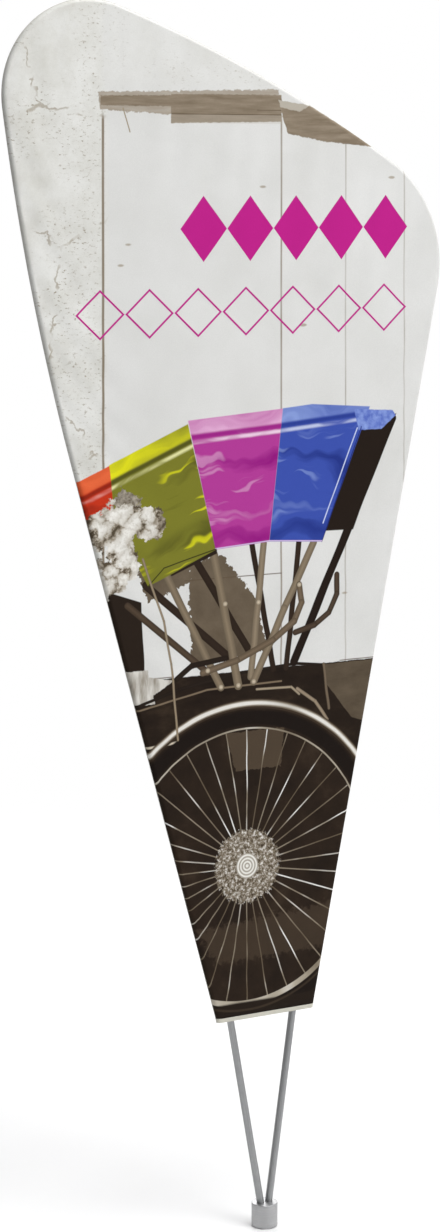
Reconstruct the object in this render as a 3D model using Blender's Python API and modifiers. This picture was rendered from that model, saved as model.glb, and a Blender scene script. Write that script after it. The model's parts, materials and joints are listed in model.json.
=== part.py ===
"""Teardrop flag: a sewn fabric case stretched over a sectional tube frame, which stands on two legs in a
hub that turns on a ball bearing over a ground spindle.

Metres, +Z up. The front of the case faces -Y, and the origin is where the spindle's axis meets the
underside of the hub's sleeve.
"""

import bisect
import math

import bmesh
import bpy
from mathutils import Matrix, Vector

# Clearances
GAP = 0.0003  # between two pieces that seat on each other
RUNNING_GAP = 0.0004  # between a turning piece and a still one

# Tube and its joints
TUBE_RADIUS = 0.00635
TUBE_WALL = 0.0012
SPIGOT_WALL = 0.0012
SPIGOT_HALF = 0.035  # how far a joint's spigot reaches into each tube
BUTTON_RADIUS = 0.0024
BUTTON_PROUD = 0.0010
BUTTON_DOME = 0.0008  # radius of the rounded rim of its head
BUTTON_FROM_JOINT = 0.018
BUTTON_COLLAR = 0.0010  # thickness of the collar that keeps it in
BUTTON_COLLAR_LIP = 0.0005  # how far the collar stands out from the shank
BUTTON_COLLAR_AIR = 0.000183  # between the collar's rim and the spigot's bore
SPRING_STRIP = 0.0004
SPRING_WIDTH = 0.0040
SPRING_LENGTH = 0.020
SPRING_TIP_BACK = 0.0040  # how much shorter the button's leaf is than the other

# Outline of the frame, along the tube's centre line, clockwise from the lower left corner
RAIL_HEIGHT = 0.3845
RAIL_SPAN = 0.1846
LEFT_LEAN = math.radians(15.88)  # how far each straight edge leans out from upright
RIGHT_LEAN = math.radians(11.70)
LEFT_BULGE_RADIUS = 4.386
LEFT_BULGE_TURN = math.radians(7.98)
TOP_LEFT_RADIUS = 0.157
TOP_LEFT_TURN = math.radians(117.23)
TOP_ARC_RADIUS = 2.752
TOP_ARC_TURN = math.radians(12.79)
TOP_RIGHT_RADIUS = 0.2085
ELBOW_RADIUS = 0.014
ELBOW_LAND = 0.001  # straight stretch of the elbow before each tube's end
ELBOW_SPIGOT = 0.018
ELBOW_FACETS = 6

BEND_STEP = math.radians(8.5)  # turn of one facet on the tight bends, and on the slow arcs
BULGE_STEP = math.radians(1.6)

# Where the tubes part, as shares of the run that each joint lies in
LEFT_EDGE_SPLIT = 0.80
LEFT_BULGE_SPLIT = 0.92
TOP_ARC_SPLIT = 0.55
RIGHT_EDGE_SPLIT = 0.30

# Legs
LEG_FOOT_GAP = 0.0039  # between the two legs' sides at the hub's top face
LEG_HEAD_INSETS = (0.0210, 0.0336)  # from the left and the right corner of the frame, along the rail
LEG_HEAD_GAP = 0.00185  # from the rail's underside down to the leg's end
STUB_LENGTH = 0.048
STUB_BUTTON_DROP = 0.030  # from the rail's axis down to the leg's snap button
LEG_SOCKET_DEPTH = 0.006
STUD_RADIUS = 0.0040
STUD_DEPTH = 0.0145  # below the hub's top face
PLUG_LENGTH = 0.022

# Hub, sleeve and bearing
HUB_RADIUS = 0.0230
HUB_BOTTOM = 0.0010
HUB_EDGE = 0.0012
HUB_FLOOR = 0.0020  # between the chamber and the studs' holes
CHAMBER_LAP = 0.0001  # of the chamber's rim over the outer ring's shoulder
CHAMBER_AIR = 0.0015  # over the sleeve
BEARING_BASE = 0.0042
BEARING_BORE = 0.0075
BEARING_OUTER = 0.0160
PITCH_SHIFT = 0.000025  # of the balls' circle, out from midway between bore and outer face
BALL_RADIUS = 0.00238
BALL_COUNT = 8
BALL_PLAY = 0.00027
GROOVE_DEPTH = 0.000325
GROOVE_FACETS = 4
CAGE_THICKNESS = 0.0012
CAGE_RIM = 0.00062  # beside each pocket
CAGE_INSET = 0.0012  # from the rings' faces
SHIELD_THICKNESS = 0.0004
CLIP_THICKNESS = 0.0011
CLIP_OPENING = math.radians(34)
CLIP_GROOVE = 0.0013
CLIP_REACH = 0.0014  # how far the circlip stands in from the bearing's outer face
CLIP_EAR_RADIUS = 0.0016
CLIP_EAR_INSET = 0.0004
CLIP_EAR_TURN = 0.11
SNAP_GROOVE = 0.0006
SPINDLE_BORE = 0.0053
SPINDLE_DEPTH = 0.0215
SPINDLE_LEAD = 0.0005  # chamfer at the bore's mouth
SLEEVE_CAP = 0.0020
SLEEVE_EDGE = 0.0008
FLANGE_INSET = 0.0035  # from the bearing's outer face
FLANGE_THICKNESS = 0.0016
GRUB_RADIUS = 0.0024
GRUB_DROP = 0.0105  # below the hub's top face
GRUB_RECESS = 0.0012
GRUB_POINT = 0.0012
GRUB_HEX_RADIUS = 0.00145
GRUB_HEX_DEPTH = 0.0030

# Fabric case
FABRIC = 0.0004
HEM_DROP = 0.00415  # from the rail's underside down to the hem's edge
HEM_HEIGHT = 0.0070
ROLL_STEPS = 4  # facets of the cloth's edge round the tube

# Zip, along the right edge and inwards from the tube's centre line
ZIP_ABOVE_RAIL = 0.0155  # where the zip starts
ZIP_HEAD_ROOM = 0.0784  # from the zip's top end to the bend above it
ZIP_MARGIN = 0.0045  # from the tube's centre line to the tape's edge
SLOT_MARGIN = 0.0034  # from the coil's side to the slot's edge
TAPE_WIDTH = 0.0115
TAPE_TAIL = 0.0040  # of the tapes, past the slot's foot
TAPE_HEAD = 0.0060  # of the tapes, past the slot's head
COIL_WIDTH = 0.0026
COIL_HEIGHT = 0.0022
COIL_ROUNDING = 0.0007
COIL_SPLIT = 0.0020  # between the two coils, where the slider's neck runs
STOP_LENGTH = 0.0040
STOP_PROUD = 0.0004  # over the coils
STOP_SIDE = 0.0006  # past the coils' sides
SLIDER_LENGTH = 0.0110
SLIDER_PLATE = 0.0010
SLIDER_LIP = 0.0009
SLIDER_NECK = (0.0010, 0.0050)  # from and to, along the slider
BAIL_RADIUS = 0.0007
BAIL_HEIGHT = 0.0025  # of the bail's bar above the slider's plate
BAIL_REACH = 0.0026  # from the bail's middle to its posts
BAIL_POST = 0.0009
BAIL_POST_HALF = 0.0008  # of its length along the zip
PULL_LENGTH = 0.0240
PULL_THICKNESS = 0.0012
PULL_WIDTH = 0.0064
PULL_EYE_WALL = 0.0006
PULL_NECK_LENGTH = 0.0030
PULL_HOLE_RADIUS = 0.0017
PULL_HOLE_MARGIN = 0.0045  # from the tab's tip to the hole's middle

# Worked out from the sizes above
TUBE_BORE = TUBE_RADIUS - TUBE_WALL
SPIGOT_RADIUS = TUBE_BORE - GAP
SPIGOT_BORE = SPIGOT_RADIUS - SPIGOT_WALL
SKIN = TUBE_RADIUS + GAP  # inner face of the fabric, from the case's middle plane
BUTTON_COLLAR_RADIUS = BUTTON_RADIUS + BUTTON_COLLAR_LIP
BUTTON_COLLAR_TOP = math.sqrt((SPIGOT_BORE - BUTTON_COLLAR_AIR) ** 2 - BUTTON_COLLAR_RADIUS**2)
BUTTON_SEAT = BUTTON_COLLAR_TOP - BUTTON_COLLAR  # from the tube's axis out to the collar
LEG_FOOT_SPREAD = 2 * TUBE_RADIUS + LEG_FOOT_GAP
LEG_HEAD_CLEARANCE = TUBE_RADIUS + LEG_HEAD_GAP
HEM_BOTTOM = RAIL_HEIGHT - TUBE_RADIUS - HEM_DROP
HEM_TOP = HEM_BOTTOM + HEM_HEIGHT
CAGE_WIDTH = 2 * (BALL_RADIUS + GAP + CAGE_RIM)
BEARING_WIDTH = CAGE_WIDTH + 2 * CAGE_INSET
BEARING_MIDDLE = BEARING_BASE + BEARING_WIDTH / 2
PITCH_RADIUS = (BEARING_BORE + BEARING_OUTER) / 2 + PITCH_SHIFT
GROOVE_RADIUS = BALL_RADIUS + BALL_PLAY
INNER_SHOULDER = PITCH_RADIUS - GROOVE_RADIUS + GROOVE_DEPTH
OUTER_SHOULDER = PITCH_RADIUS + GROOVE_RADIUS - GROOVE_DEPTH
FLANGE_RADIUS = BEARING_OUTER - FLANGE_INSET
CHAMBER_RADIUS = OUTER_SHOULDER - CHAMBER_LAP
CHAMBER_TOP = SPINDLE_DEPTH + SLEEVE_CAP + CHAMBER_AIR
HUB_TOP = CHAMBER_TOP + HUB_FLOOR + STUD_DEPTH
GRUB_HEIGHT = HUB_TOP - GRUB_DROP
ZIP_INSET = COIL_SPLIT / 2 + TAPE_WIDTH + ZIP_MARGIN
ZIP_SLOT = COIL_SPLIT + 2 * (COIL_WIDTH + SLOT_MARGIN)
TOP_RIGHT_TURN = math.pi + LEFT_LEAN + RIGHT_LEAN - LEFT_BULGE_TURN - TOP_LEFT_TURN - TOP_ARC_TURN

# Facets round each kind of piece
TUBE_SIDES = 12
RING_SIDES = 24
LEG_SIDES = 24
BUTTON_SIDES = 12
STUD_SIDES = 16

# Lengths that Boolean shapes run past what they cut, or into what they join
OVERRUN = 0.010
LAP = 0.0002

# name: (base colour, roughness, metallic)
FINISHES = {
    "anodised_tube": ((0.45, 0.46, 0.46), 0.38, 1.0),
    "anodised_hub": ((0.46, 0.47, 0.47), 0.45, 1.0),
    "plain_steel": ((0.36, 0.36, 0.37), 0.35, 1.0),
    "bearing_steel": ((0.62, 0.62, 0.64), 0.12, 1.0),
    "spring_steel": ((0.25, 0.25, 0.27), 0.40, 1.0),
    "cage_polymer": ((0.10, 0.09, 0.07), 0.60, 0.0),
    "elbow_polymer": ((0.03, 0.03, 0.03), 0.55, 0.0),
    "printed_fabric": ((0.70, 0.70, 0.69), 0.85, 0.0),
    "hem_fabric": ((0.57, 0.55, 0.48), 0.90, 0.0),
    "zip_tape": ((0.72, 0.71, 0.69), 0.90, 0.0),
    "zip_coil": ((0.60, 0.60, 0.58), 0.50, 0.0),
    "zip_metal": ((0.50, 0.50, 0.50), 0.30, 1.0),
}


def clear_scene():
    """Empties the file that the script runs in."""
    for obj in list(bpy.data.objects):
        bpy.data.objects.remove(obj, do_unlink=True)


def make_collection(name):
    """A collection under the scene's own."""
    collection = bpy.data.collections.new(name)
    bpy.context.scene.collection.children.link(collection)
    return collection


def make_materials():
    """One Principled material for each finish."""
    made = {}
    for name, (colour, roughness, metallic) in FINISHES.items():
        material = bpy.data.materials.new(name)
        material.use_nodes = True
        shader = material.node_tree.nodes["Principled BSDF"]
        shader.inputs["Base Color"].default_value = (*colour, 1.0)
        shader.inputs["Roughness"].default_value = roughness
        shader.inputs["Metallic"].default_value = metallic
        material.diffuse_color = (*colour, 1.0)
        made[name] = material
    return made


# ---- Helpers that make objects ----


def add_object(name, data, finish, place=None):
    """A named part in the flag's collection, with its own copy of a finish."""
    obj = bpy.data.objects.new(name, data)
    FLAG.objects.link(obj)
    if place is not None:
        obj.matrix_world = place
    if not data.materials:
        material = MATERIALS[finish].copy()
        material.name = f"{name}_{finish}"
        data.materials.append(material)
    return obj


def mesh_from(name, bm):
    """A mesh with its faces turned outwards."""
    bmesh.ops.remove_doubles(bm, verts=bm.verts, dist=1e-6)
    bmesh.ops.recalc_face_normals(bm, faces=bm.faces)
    mesh = bpy.data.meshes.new(name)
    bm.to_mesh(mesh)
    bm.free()
    mesh.shade_smooth()
    mesh.set_sharp_from_angle(angle=math.radians(35))
    return mesh


def turned(name, profile, finish, steps, place=None):
    """A body of revolution about local Z, from (radius, height) points down its outer side."""
    bm = bmesh.new()
    points = [bm.verts.new((radius, 0, height)) for radius, height in profile]
    on_axis = profile[0][0] == 0 and profile[-1][0] == 0
    pairs = zip(points, points[1:]) if on_axis else zip(points, points[1:] + points[:1])
    for first, second in pairs:
        bm.edges.new((first, second))
    bmesh.ops.spin(
        bm,
        geom=bm.verts[:] + bm.edges[:],
        cent=(0, 0, 0),
        axis=(0, 0, 1),
        angle=2 * math.pi,
        steps=steps,
        use_merge=True,
    )
    return add_object(name, mesh_from(name, bm), finish, place)


def ring_profile(inner, outer, low, high):
    """A plain ring's four corners."""
    return [(inner, high), (outer, high), (outer, low), (inner, low)]


def cylinder_mesh(radius, low, high, sides):
    """A closed cylinder on local Z."""
    bm = bmesh.new()
    place = Matrix.Translation((0, 0, (low + high) / 2))
    bmesh.ops.create_cone(
        bm, cap_ends=True, segments=sides, radius1=radius, radius2=radius, depth=high - low, matrix=place
    )
    return mesh_from("cylinder", bm)


def box_mesh(low, high):
    """A closed box between two corners."""
    low, high = Vector(low), Vector(high)
    size = high - low
    bm = bmesh.new()
    place = Matrix.Translation((low + high) / 2) @ Matrix.Diagonal((*size, 1))
    bmesh.ops.create_cube(bm, size=1, matrix=place)
    return mesh_from("box", bm)


def add_tool(mesh, place):
    """A hidden shape that a Boolean takes away or joins."""
    tool = bpy.data.objects.new("tool", mesh)
    tool.matrix_world = place
    tool.hide_render = True
    tool.display_type = "WIRE"
    TOOLS.objects.link(tool)
    return tool


def boolean(obj, operation, mesh, place):
    """Cuts a shape from an object, or joins it on."""
    modifier = obj.modifiers.new(operation.lower(), "BOOLEAN")
    modifier.operation = operation
    modifier.solver = "EXACT"
    modifier.object = add_tool(mesh, place)


def swept_mesh(points, radius, sides, capped):
    """A round bar or an open skin along points, as a mesh."""
    curve = bpy.data.curves.new("route", "CURVE")
    curve.dimensions = "3D"
    curve.bevel_depth = radius
    curve.bevel_resolution = (sides - 4) // 2
    curve.use_fill_caps = capped
    spline = curve.splines.new("POLY")
    spline.points.add(len(points) - 1)
    for target, point in zip(spline.points, points):
        target.co = (*point, 1)
    guide = bpy.data.objects.new("route", curve)
    TOOLS.objects.link(guide)
    mesh = bpy.data.meshes.new_from_object(guide.evaluated_get(bpy.context.evaluated_depsgraph_get()))
    bpy.data.objects.remove(guide, do_unlink=True)
    bm = bmesh.new()
    bm.from_mesh(mesh)
    bmesh.ops.remove_doubles(bm, verts=bm.verts, dist=1e-6)
    bm.to_mesh(mesh)
    bm.free()
    mesh.shade_smooth()
    mesh.set_sharp_from_angle(angle=math.radians(35))
    return mesh


def hollow_tube(name, points, radius, wall, finish):
    """A tube along points, with its wall inside the given radius."""
    tube = add_object(name, swept_mesh(points, radius, TUBE_SIDES, False), finish)
    shell = tube.modifiers.new("wall", "SOLIDIFY")
    shell.thickness = wall
    shell.offset = -1
    return tube


# ---- Outline of the frame ----


class Outline:
    """The tube's centre line in the XZ plane: straight runs and arcs that turn clockwise, faceted at marks.

    Every piece that follows the outline shares the same facets, so that they nest with an even gap.
    """

    def __init__(self):
        arcs = [
            (LEFT_BULGE_RADIUS, LEFT_BULGE_TURN),
            (TOP_LEFT_RADIUS, TOP_LEFT_TURN),
            (TOP_ARC_RADIUS, TOP_ARC_TURN),
            (TOP_RIGHT_RADIUS, TOP_RIGHT_TURN),
        ]
        heading = math.pi / 2 + LEFT_LEAN
        left_way = self.direction(heading)
        across = Vector((0, 0))
        for radius, turn in arcs:
            across += self.chord(heading, radius, turn)
            heading -= turn
        right_way = self.direction(heading)
        # left * left_way + across + right * right_way has to land on the rail's other end
        rest = Vector((RAIL_SPAN, 0)) - across
        scale = left_way.x * right_way.y - left_way.y * right_way.x
        left = (rest.x * right_way.y - rest.y * right_way.x) / scale
        right = (left_way.x * rest.y - left_way.y * rest.x) / scale
        self.runs = [(left, None), *((radius * turn, radius) for radius, turn in arcs), (right, None)]
        self.ends = [0.0]
        for length, _ in self.runs:
            self.ends.append(self.ends[-1] + length)
        self.joints = [
            self.split(0, LEFT_EDGE_SPLIT),
            self.split(1, LEFT_BULGE_SPLIT),
            self.split(3, TOP_ARC_SPLIT),
            self.split(5, RIGHT_EDGE_SPLIT),
        ]
        self.marks = self.facet_marks()
        self.corners = [self.exact(mark) for mark in self.marks]

    @staticmethod
    def direction(heading):
        """Unit vector of a heading."""
        return Vector((math.cos(heading), math.sin(heading)))

    @classmethod
    def chord(cls, heading, radius, turn):
        """From one end to the other of an arc that starts at a heading."""
        return cls.direction(heading - turn / 2) * 2 * radius * math.sin(turn / 2)

    def split(self, run, share):
        """Distance at which a run's share ends."""
        return self.ends[run] + self.runs[run][0] * share

    def facet_marks(self):
        """Distances of the outline's facet corners: run ends, steps along the arcs, and the joints."""
        marks = [0.0, *self.joints]
        for (length, radius), begin in zip(self.runs, self.ends):
            step = length if radius is None else radius * (BEND_STEP if radius < 1 else BULGE_STEP)
            count = math.ceil(length / step - 1e-9)
            marks += [begin + length * number / count for number in range(1, count + 1)]
        return sorted(marks)

    def exact(self, distance):
        """Point and heading on the true arcs, at a distance from the lower left corner."""
        point = Vector((-RAIL_SPAN / 2, RAIL_HEIGHT))
        heading = math.pi / 2 + LEFT_LEAN
        for length, radius in self.runs:
            step = min(length, distance)
            if radius is None:
                point = point + self.direction(heading) * step
            else:
                point = point + self.chord(heading, radius, step / radius)
                heading -= step / radius
            distance -= step
            if distance <= 0:
                break
        return point, heading

    def at(self, distance):
        """Point and heading on the faceted outline."""
        for mark, corner in zip(self.marks, self.corners):
            if abs(mark - distance) < 1e-7:
                return corner
        number = bisect.bisect(self.marks, distance)
        start, stop = self.corners[number - 1][0], self.corners[number][0]
        share = (distance - self.marks[number - 1]) / (self.marks[number] - self.marks[number - 1])
        way = stop - start
        return start + way * share, math.atan2(way.y, way.x)

    def stations(self, start, stop):
        """The two distances and the facet corners between them."""
        return [start, *(mark for mark in self.marks if start + 1e-7 < mark < stop - 1e-7), stop]

    def points(self, start, stop):
        """The stretch between two distances, as 3-D points."""
        spots = [self.at(mark)[0] for mark in self.stations(start, stop)]
        return [Vector((spot.x, 0, spot.y)) for spot in spots]

    def frame_at(self, distance):
        """A matrix whose Z runs along the tube and whose X points into the flag."""
        point, heading = self.at(distance)
        return Matrix.Translation((point.x, 0, point.y)) @ Matrix.Rotation(math.pi / 2 - heading, 4, "Y")

    def left_edge_at(self, height):
        """Distance at which the straight left edge passes a height."""
        return (height - RAIL_HEIGHT) / math.cos(LEFT_LEAN)

    def right_edge_at(self, height):
        """Distance at which the straight right edge passes a height."""
        return self.ends[-1] - (height - RAIL_HEIGHT) / math.cos(RIGHT_LEAN)

    def edge_station(self, distance):
        """Point and level roll way on a straight edge, also past its ends, as at the hem."""
        if distance < self.ends[1]:
            start, heading = self.corners[0]
            point = start + self.direction(heading) * distance
        else:
            start, heading = self.corners[-1]
            point = start + self.direction(heading) * (distance - self.ends[-1])
        return point, roll_way(heading, True)


# ---- Snap joints ----


def spring_mesh():
    """A bent strip: one leaf lies on the far wall, the other under the button, on local X."""
    leaf = BUTTON_SEAT - SPRING_STRIP - GAP
    wall = SPRING_STRIP / 2 + GAP - math.sqrt(SPIGOT_BORE**2 - (SPRING_WIDTH / 2) ** 2)
    bend = (leaf - wall) / 2
    tail = -SPRING_LENGTH / 2
    outline = [(wall, SPRING_LENGTH / 2)]
    for step in range(7):
        angle = math.pi * step / 6
        outline.append(((wall + leaf) / 2 - bend * math.cos(angle), tail - bend * math.sin(angle)))
    outline.append((leaf, SPRING_LENGTH / 2 - SPRING_TIP_BACK))
    bm = bmesh.new()
    points = [bm.verts.new((x, -SPRING_WIDTH / 2, z)) for x, z in outline]
    edges = [bm.edges.new(pair) for pair in zip(points, points[1:])]
    swept = bmesh.ops.extrude_edge_only(bm, edges=edges)["geom"]
    moved = [item for item in swept if isinstance(item, bmesh.types.BMVert)]
    bmesh.ops.translate(bm, verts=moved, vec=(0, SPRING_WIDTH, 0))
    bmesh.ops.recalc_face_normals(bm, faces=bm.faces)
    mesh = bpy.data.meshes.new("snap_spring")
    bm.to_mesh(mesh)
    bm.free()
    return mesh


def button_profile():
    """Collar, shank and domed head of a snap button, on local Z."""
    head = TUBE_RADIUS + BUTTON_PROUD
    dome = BUTTON_DOME
    profile = [(0, head)]
    for step in range(1, 4):
        angle = math.pi / 2 * step / 3
        profile.append((BUTTON_RADIUS - dome + dome * math.sin(angle), head - dome + dome * math.cos(angle)))
    profile += [
        (BUTTON_RADIUS, BUTTON_COLLAR_TOP),
        (BUTTON_COLLAR_RADIUS, BUTTON_COLLAR_TOP),
        (BUTTON_COLLAR_RADIUS, BUTTON_SEAT),
        (0, BUTTON_SEAT),
    ]
    return profile


def snap_lock(name, place, walls):
    """A sprung button through the given tube walls. X of place is the way that the button points."""
    z_on_x = Matrix.Rotation(math.pi / 2, 4, "Y")
    turned(f"{name}_button", button_profile(), "plain_steel", BUTTON_SIDES, place @ z_on_x)
    spring = add_object(f"{name}_spring", spring_mesh(), "spring_steel", place)
    strip = spring.modifiers.new("strip", "SOLIDIFY")
    strip.thickness = SPRING_STRIP
    strip.offset = 0
    for wall in walls:
        hole = cylinder_mesh(BUTTON_RADIUS + GAP, BUTTON_SEAT, TUBE_RADIUS + OVERRUN, BUTTON_SIDES)
        boolean(wall, "DIFFERENCE", hole, place @ z_on_x)


# ---- Frame ----


def perimeter_frame(outline):
    """The five tubes of the outline, with a spigot and a snap lock at each joint."""
    left_trim, right_trim = elbow_trims()
    cuts = [left_trim, *outline.joints, outline.ends[-1] - right_trim]
    names = ["left_lower", "left_upper", "top_left_bend", "top_right_bend", "right_lower"]
    tubes = []
    for name, start, stop in zip(names, cuts, cuts[1:]):
        route = outline.points(start + GAP / 2, stop - GAP / 2)
        tubes.append(hollow_tube(f"{name}_tube", route, TUBE_RADIUS, TUBE_WALL, "anodised_tube"))
    for number, (distance, second) in enumerate(zip(outline.joints, tubes[1:]), 1):
        route = outline.points(distance - SPIGOT_HALF, distance + SPIGOT_HALF)
        name = f"joint_{number}"
        spigot = hollow_tube(f"{name}_spigot", route, SPIGOT_RADIUS, SPIGOT_WALL, "anodised_tube")
        snap_lock(name, outline.frame_at(distance + BUTTON_FROM_JOINT), [spigot, second])


def elbow_turns():
    """The angle that each lower corner turns through, left then right."""
    return math.pi / 2 - LEFT_LEAN, math.pi / 2 - RIGHT_LEAN


def elbow_trims():
    """From each lower corner to the end of the elbow's body, left then right."""
    return [ELBOW_RADIUS * math.tan(turn / 2) + ELBOW_LAND for turn in elbow_turns()]


def elbow(name, side):
    """A moulded corner with a spigot into the edge tube and one into the rail. Side is -1 or 1."""
    turn = elbow_turns()[0 if side < 0 else 1]
    trim = ELBOW_RADIUS * math.tan(turn / 2)
    corner = Vector((side * RAIL_SPAN / 2, 0, RAIL_HEIGHT))
    centre = corner + Vector((-side * trim, 0, ELBOW_RADIUS))
    arc = []
    for step in range(ELBOW_FACETS + 1):
        angle = turn * step / ELBOW_FACETS
        arc.append(centre + ELBOW_RADIUS * Vector((side * math.sin(angle), 0, -math.cos(angle))))
    edge_way = Vector((side * math.cos(turn), 0, math.sin(turn)))
    rail_way = Vector((-side, 0, 0))
    shapes = []
    for radius, reach in ((TUBE_RADIUS, ELBOW_LAND), (SPIGOT_RADIUS, ELBOW_SPIGOT)):
        route = [arc[0] + rail_way * reach, *arc, arc[-1] + edge_way * reach]
        shapes.append(swept_mesh(route, radius, TUBE_SIDES, True))
    obj = add_object(name, shapes[0], "elbow_polymer")
    boolean(obj, "UNION", shapes[1], Matrix.Identity(4))


def leg_frames():
    """For each leg, left then right: its frame at the hub's top face, and its length to the rail's axis."""
    frames = []
    for side, inset in zip((-1, 1), LEG_HEAD_INSETS):
        foot = Vector((side * LEG_FOOT_SPREAD / 2, 0, HUB_TOP))
        head = Vector((side * (RAIL_SPAN / 2 - inset), 0, RAIL_HEIGHT))
        lean = math.atan2(head.x - foot.x, head.z - foot.z)
        frames.append((Matrix.Translation(foot) @ Matrix.Rotation(lean, 4, "Y"), (head - foot).length))
    return frames


def bottom_rail():
    """The rail between the elbows, with a welded stub for each leg, bored through."""
    left_trim, right_trim = elbow_trims()
    left, right = GAP + left_trim - RAIL_SPAN / 2, RAIL_SPAN / 2 - right_trim - GAP
    along = Matrix.Translation((0, 0, RAIL_HEIGHT)) @ Matrix.Rotation(math.pi / 2, 4, "Y")
    outside = cylinder_mesh(TUBE_RADIUS, left, right, TUBE_SIDES)
    rail = add_object("bottom_rail", outside, "anodised_tube", along)
    for place, length in leg_frames():
        stub = cylinder_mesh(SPIGOT_RADIUS, length - STUB_LENGTH, length, TUBE_SIDES)
        boolean(rail, "UNION", stub, place)
    boolean(rail, "DIFFERENCE", cylinder_mesh(TUBE_BORE, left - OVERRUN, right + OVERRUN, TUBE_SIDES), along)
    for place, length in leg_frames():
        bore = cylinder_mesh(SPIGOT_BORE, length - STUB_LENGTH - OVERRUN, length, TUBE_SIDES)
        boolean(rail, "DIFFERENCE", bore, place)
    return rail


def legs(rail):
    """Both legs: tube, end plug with its stud, and the snap lock on the rail's stub."""
    for side, (place, length) in zip(("left", "right"), leg_frames()):
        low, high = GAP - LEG_SOCKET_DEPTH, length - LEG_HEAD_CLEARANCE
        profile = ring_profile(TUBE_BORE, TUBE_RADIUS, low, high)
        tube = turned(f"{side}_leg_tube", profile, "anodised_tube", LEG_SIDES, place)
        plug = [
            (0, PLUG_LENGTH),
            (SPIGOT_RADIUS, PLUG_LENGTH),
            (SPIGOT_RADIUS, low),
            (STUD_RADIUS, low),
            (STUD_RADIUS, GAP - STUD_DEPTH),
            (0, GAP - STUD_DEPTH),
        ]
        turned(f"{side}_leg_plug", plug, "plain_steel", STUD_SIDES, place)
        button = Matrix.Translation((0, 0, length - STUB_BUTTON_DROP)) @ Matrix.Rotation(math.pi / 2, 4, "Z")
        snap_lock(f"{side}_leg", place @ button, [rail, tube])


# ---- Hub and bearing ----


def hub_body():
    """The turned hub: bearing seat and chamber below, angled sockets above, grub screws from behind."""
    groove_low, groove_high = BEARING_BASE - GAP - CLIP_THICKNESS - 2 * GAP, BEARING_BASE - GAP
    seat = BEARING_OUTER + GAP
    groove = seat + CLIP_GROOVE
    shoulder = BEARING_BASE + BEARING_WIDTH + GAP
    profile = [
        (0, HUB_TOP),
        (HUB_RADIUS - HUB_EDGE / 2, HUB_TOP),
        (HUB_RADIUS, HUB_TOP - HUB_EDGE / 2),
        (HUB_RADIUS, HUB_BOTTOM + HUB_EDGE),
        (HUB_RADIUS - HUB_EDGE / 3, HUB_BOTTOM + HUB_EDGE / 3),
        (HUB_RADIUS - HUB_EDGE, HUB_BOTTOM),
        (seat, HUB_BOTTOM),
        (seat, groove_low),
        (groove, groove_low),
        (groove, groove_high),
        (seat, groove_high),
        (seat, shoulder),
        (CHAMBER_RADIUS, shoulder),
        (CHAMBER_RADIUS, CHAMBER_TOP),
        (0, CHAMBER_TOP),
    ]
    hub = turned("hub_body", profile, "anodised_hub", 2 * RING_SIDES)
    for place, _ in leg_frames():
        socket = cylinder_mesh(TUBE_RADIUS + GAP, -LEG_SOCKET_DEPTH, OVERRUN, LEG_SIDES)
        boolean(hub, "DIFFERENCE", socket, place)
        boolean(hub, "DIFFERENCE", cylinder_mesh(STUD_RADIUS + GAP, -STUD_DEPTH, OVERRUN, STUD_SIDES), place)
    for place in grub_places():
        boolean(hub, "DIFFERENCE", cylinder_mesh(GRUB_RADIUS + GAP, 0, 2 * HUB_RADIUS, STUD_SIDES), place)
    return groove_low, groove


def grub_places():
    """For each leg's stud: a frame on its axis at the grub screw's height, with Z pointing back."""
    places = []
    for place, _ in leg_frames():
        down = (GRUB_HEIGHT - HUB_TOP) / place.col[2].z
        point = place @ Vector((0, 0, down))
        places.append(Matrix.Translation(point) @ Matrix.Rotation(-math.pi / 2, 4, "X"))
    return places


def grub_screws():
    """Socket set screws that bear on the studs."""
    for side, place in zip(("left", "right"), grub_places()):
        reach = math.sqrt(HUB_RADIUS**2 - place.translation.x**2) - GRUB_RECESS
        start = STUD_RADIUS + GAP
        profile = [
            (0, reach),
            (GRUB_RADIUS, reach),
            (GRUB_RADIUS, start + GRUB_POINT),
            (GRUB_RADIUS - GRUB_POINT, start),
            (0, start),
        ]
        screw = turned(f"{side}_grub_screw", profile, "plain_steel", STUD_SIDES, place)
        key = cylinder_mesh(GRUB_HEX_RADIUS, reach - GRUB_HEX_DEPTH, reach + OVERRUN, 6)
        boolean(screw, "DIFFERENCE", key, place)


def race(middle, shoulder, sign):
    """Points of a ball groove between its shoulders, from top to bottom. Sign is 1 on the outer ring."""
    edge = math.acos((shoulder - PITCH_RADIUS) * sign / GROOVE_RADIUS)
    points = []
    for step in range(GROOVE_FACETS + 1):
        angle = edge * (1 - 2 * step / GROOVE_FACETS)
        out, up = sign * GROOVE_RADIUS * math.cos(angle), GROOVE_RADIUS * math.sin(angle)
        points.append((PITCH_RADIUS + out, middle + up))
    return points


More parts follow.
